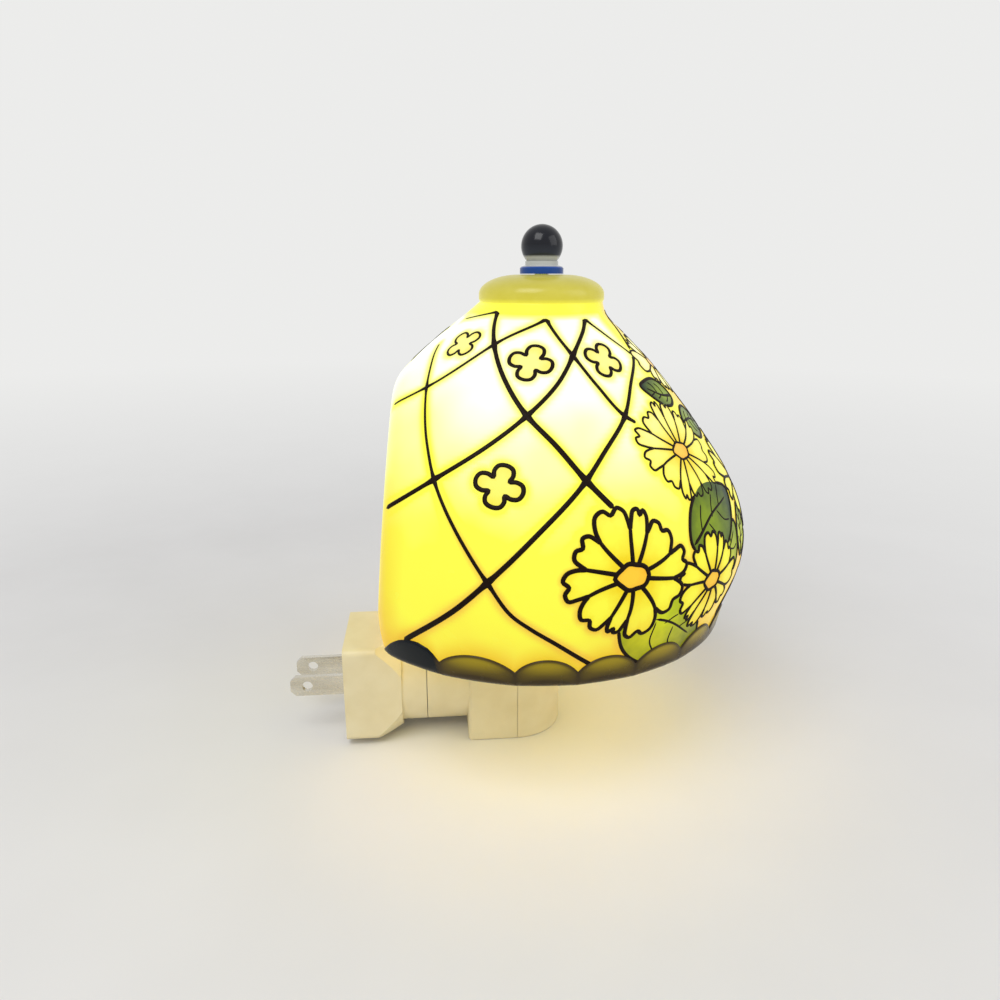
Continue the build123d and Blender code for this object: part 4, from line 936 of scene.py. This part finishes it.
line_scale = 50.0       # mm for a radian, so that turns and heights are alike
brush = 1.18            # how much wider the lines are drawn than the widths above say
corner_gap = 1.5        # degrees left free at the flat back
shortest = 16           # points in the shortest line worth drawing
drawn_lines = []
for start_width, end_width, *knots in near_lines:
    line = flowing([(math.radians(a) * line_scale, h) for a, h in knots], 18)
    widths = np.linspace(start_width, end_width, len(line))
    drawn_lines.append(np.column_stack([line[:, 0] / line_scale, line[:, 1] * mm, widths * brush * mm]))
for turn, side in far_starts:
    rows = [(math.radians(turn + side * row_step * n) * line_scale, h) for n, h in enumerate(row_heights)]
    line = flowing(rows, 14)
    kept = []
    for x, h in line:
        a = math.degrees(x / line_scale)
        if np.interp(h, *zip(*garland_end)) < a < corner_turn(h * mm) - corner_gap:
            width = np.interp(h, (row_heights[-1], row_heights[0]), far_widths[::-1])
            kept.append((x / line_scale, h * mm, width * brush * mm))
    if len(kept) > shortest:
        drawn_lines.append(np.array(kept))

# where two lines cross the enamel pools and the line is thicker
pool_wider = 0.55 * mm
pool_reach = 1.5 * mm
trellis_parts = []
placed = [wall_points(line[:, 0], line[:, 1]) for line in drawn_lines]
for number, (line, points) in enumerate(zip(drawn_lines, placed)):
    others = np.vstack([other for n, other in enumerate(placed) if n != number])
    apart = np.linalg.norm(points[:, None] - others[None], axis=2).min(1)
    widths = line[:, 2] + pool_wider * np.exp(-((apart / pool_reach) ** 2))
    covered = np.any([inside(line[:, :2], field["edge"]) for field in motif_fields], axis=0)
    for run in open_runs(covered):
        trellis_parts.append(trail(*line[run, :2].T, rounded_ends(points[run], widths[run])))
        line_points.append(points[run])
shade_piece("trellis_lines", *gathered(trellis_parts), enamel)

# painted shade: the wall's painted glow is less white beside every line, because the dark enamel takes up
# some of the light, under the cap, and at the front, further round where the shade is narrow
line_tree = KDTree(sum(len(points) for points in line_points))
for number, point in enumerate(np.vstack(line_points)):
    line_tree.insert(point, number)
line_tree.balance()
halo_reach = 1.5 * mm
halo_depth = 17 * mm
neck_depth = 22 * mm
neck_low = 3.6 * mm
neck_fade = 1.2 * mm
front_depth = 14 * mm
high_low = 45 * mm
high_fade = 25 * mm
high_turn = 47          # degrees
high_spread = 16
from_line = np.array([line_tree.find(point)[2] for point in skin_points])
under_cap = np.clip((skin_points[:, 2] - (cap_z - neck_low)) / neck_fade, 0, 1)
held_back = np.maximum(halo_depth * np.exp(-((from_line / halo_reach) ** 2)), neck_depth * under_cap)
high_up = np.clip((skin_heights - high_low) / high_fade, 0, 1)
high_front = high_up * np.clip((high_turn - np.abs(np.degrees(skin_turns))) / high_spread, 0, 1)
held_back = np.maximum(held_back, front_depth * (front_share + 1.5 * high_front))
paint(shade_skin, "held_back", held_back)

# Finial. A turned porcelain knob, glazed blue-black, over a white collar with a cobalt band; it is
# cemented on a brass insert and screws down on the stud.
collar_low, collar_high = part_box("finial_collar")


def banded(name, low, high, roughness, *stops):
    """A glaze whose colour changes with height between two levels."""
    finish, shader = new_finish(name, stops[0][1], roughness, coat=0.15)
    join(finish, ramp(finish, height_share(finish, low, high), *stops), shader, "Base Color")
    shader.inputs["Specular IOR Level"].default_value = 0.25
    pool = grain(finish, 2.5 * mm, 3.0)
    join(finish, spread(finish, pool, roughness * 0.8, roughness * 1.3), shader, "Roughness")
    emboss(finish, shader, pool, 0.05 * mm, 0.3)
    return finish


cobalt = (0.004, 0.055, 0.30)
glaze_white = (0.52, 0.53, 0.50)
night_glaze = (0.003, 0.004, 0.009)
knob_reflection_slate = (0.022, 0.028, 0.040)
collar_bands = [(0.0, cobalt), (0.52, cobalt), (0.62, glaze_white), (1.0, glaze_white)]
# low on the knob the blue-black is painted lighter slate, a painted reflection
knob_bands = [(0.0, glaze_white), (0.10, glaze_white), (0.16, knob_reflection_slate), (0.45, night_glaze)]
knob_bands += [(1.0, night_glaze)]
collar_glaze = banded("collar_glaze", collar_low.z, collar_high.z, 0.2, *collar_bands)
knob_glaze = banded("knob_glaze", knob_low.z, knob_high.z, 0.16, *knob_bands)
dress(collar_glaze, "finial_collar")
dress(knob_glaze, "finial_knob")

# Studio. A plain pale floor that runs out into the backdrop's tone, a soft key from above on the
# left and a weaker fill, and the camera where the photograph was taken from.
backdrop = (0.84, 0.84, 0.83)
floor_z = cad_low[2]
floor_half = 6.0
floor_corners = [(-1, -1), (1, -1), (1, 1), (-1, 1)]
floor_mesh = bpy.data.meshes.new("floor")
floor_points = [(x * floor_half, y * floor_half, floor_z) for x, y in floor_corners]
floor_mesh.from_pydata(floor_points, [], [(0, 1, 2, 3)])
floor = bpy.data.objects.new("floor", floor_mesh)
bpy.context.scene.collection.objects.link(floor)
floor_finish = mottled("floor_paint", (0.80, 0.79, 0.77), (0.77, 0.76, 0.74), 0.75, 60 * mm, bump=0.02 * mm)
floor_mesh.materials.append(floor_finish)


def seen_rays(tree):
    """1 for rays that show the background: straight, mirrored or through glass; returns the socket."""
    rays = wired(tree, "LightPath").outputs
    seen = rays["Is Camera Ray"]
    for name in ("Is Glossy Ray", "Is Transmission Ray"):
        seen = reckoned(tree, "MAXIMUM", seen, rays[name])
    return seen


def show(tree, share, lit, seen, output):
    """Links the lit shader to the output and, by the share, the seen one over it."""
    mixed = wired(tree, "MixShader", share, lit, seen).outputs["Shader"]
    tree.links.new(mixed, tree.nodes[output].inputs["Surface"])


# far from the lamp the floor takes on the backdrop's tone
floor_tree = floor_finish.node_tree
floor_far = wired(floor_tree, "VectorMath", wired(floor_tree, "TexCoord").outputs["Object"])
floor_far.operation = "LENGTH"
nearness = reckoned(floor_tree, "DIVIDE", 1.0, floor_far.outputs["Value"])
far_share = spread(floor_finish, nearness, 1.0, 0.0, 0.9, 4.5)
floor_fade = reckoned(floor_tree, "MULTIPLY", far_share, seen_rays(floor_tree))
floor_lit = floor_tree.nodes["Principled BSDF"].outputs["BSDF"]
floor_shown = wired(floor_tree, "Emission", Color=(*backdrop, 1)).outputs["Emission"]
show(floor_tree, floor_fade, floor_lit, floor_shown, "Material Output")

world = bpy.data.worlds.new("studio")
bpy.context.scene.world = world
world.use_nodes = True
sky_tree = world.node_tree
sky = sky_tree.nodes["Background"]
sky.inputs["Color"].default_value = (0.95, 0.96, 1.0, 1)
sky.inputs["Strength"].default_value = 0.55
sky_shown = wired(sky_tree, "Background", Color=(*backdrop, 1)).outputs["Background"]
show(sky_tree, seen_rays(sky_tree), sky.outputs["Background"], sky_shown, "World Output")


def soft_lamp(name, place, aim, size, power):
    """A square soft lamp that points at a spot."""
    lamp = bpy.data.lights.new(name, "AREA")
    lamp.size = size
    lamp.energy = power
    holder = bpy.data.objects.new(name, lamp)
    holder.location = place
    holder.rotation_euler = (Vector(aim) - Vector(place)).to_track_quat("-Z", "Y").to_euler()
    bpy.context.scene.collection.objects.link(holder)


middle = (0.055, 0.0, 0.06)
soft_lamp("key", (-0.30, -0.50, 0.85), middle, 0.6, 4.5)
soft_lamp("fill", (0.8, -0.4, 0.5), middle, 0.7, 2.0)

camera_place = Vector((26.9, -225.4, 121.1)) * mm
camera_yaw = math.radians(5.35)
camera_pitch = math.radians(16.1)
camera_data = bpy.data.cameras.new("camera")
camera_data.sensor_width = 36
camera_data.lens = 28.08
camera_data.clip_start = 0.01
camera = bpy.data.objects.new("camera", camera_data)
camera.location = camera_place
camera.rotation_euler = (math.pi / 2 - camera_pitch, 0, -camera_yaw)
bpy.context.scene.collection.objects.link(camera)
bpy.context.scene.camera = camera
bpy.context.scene.view_settings.view_transform = "Standard"
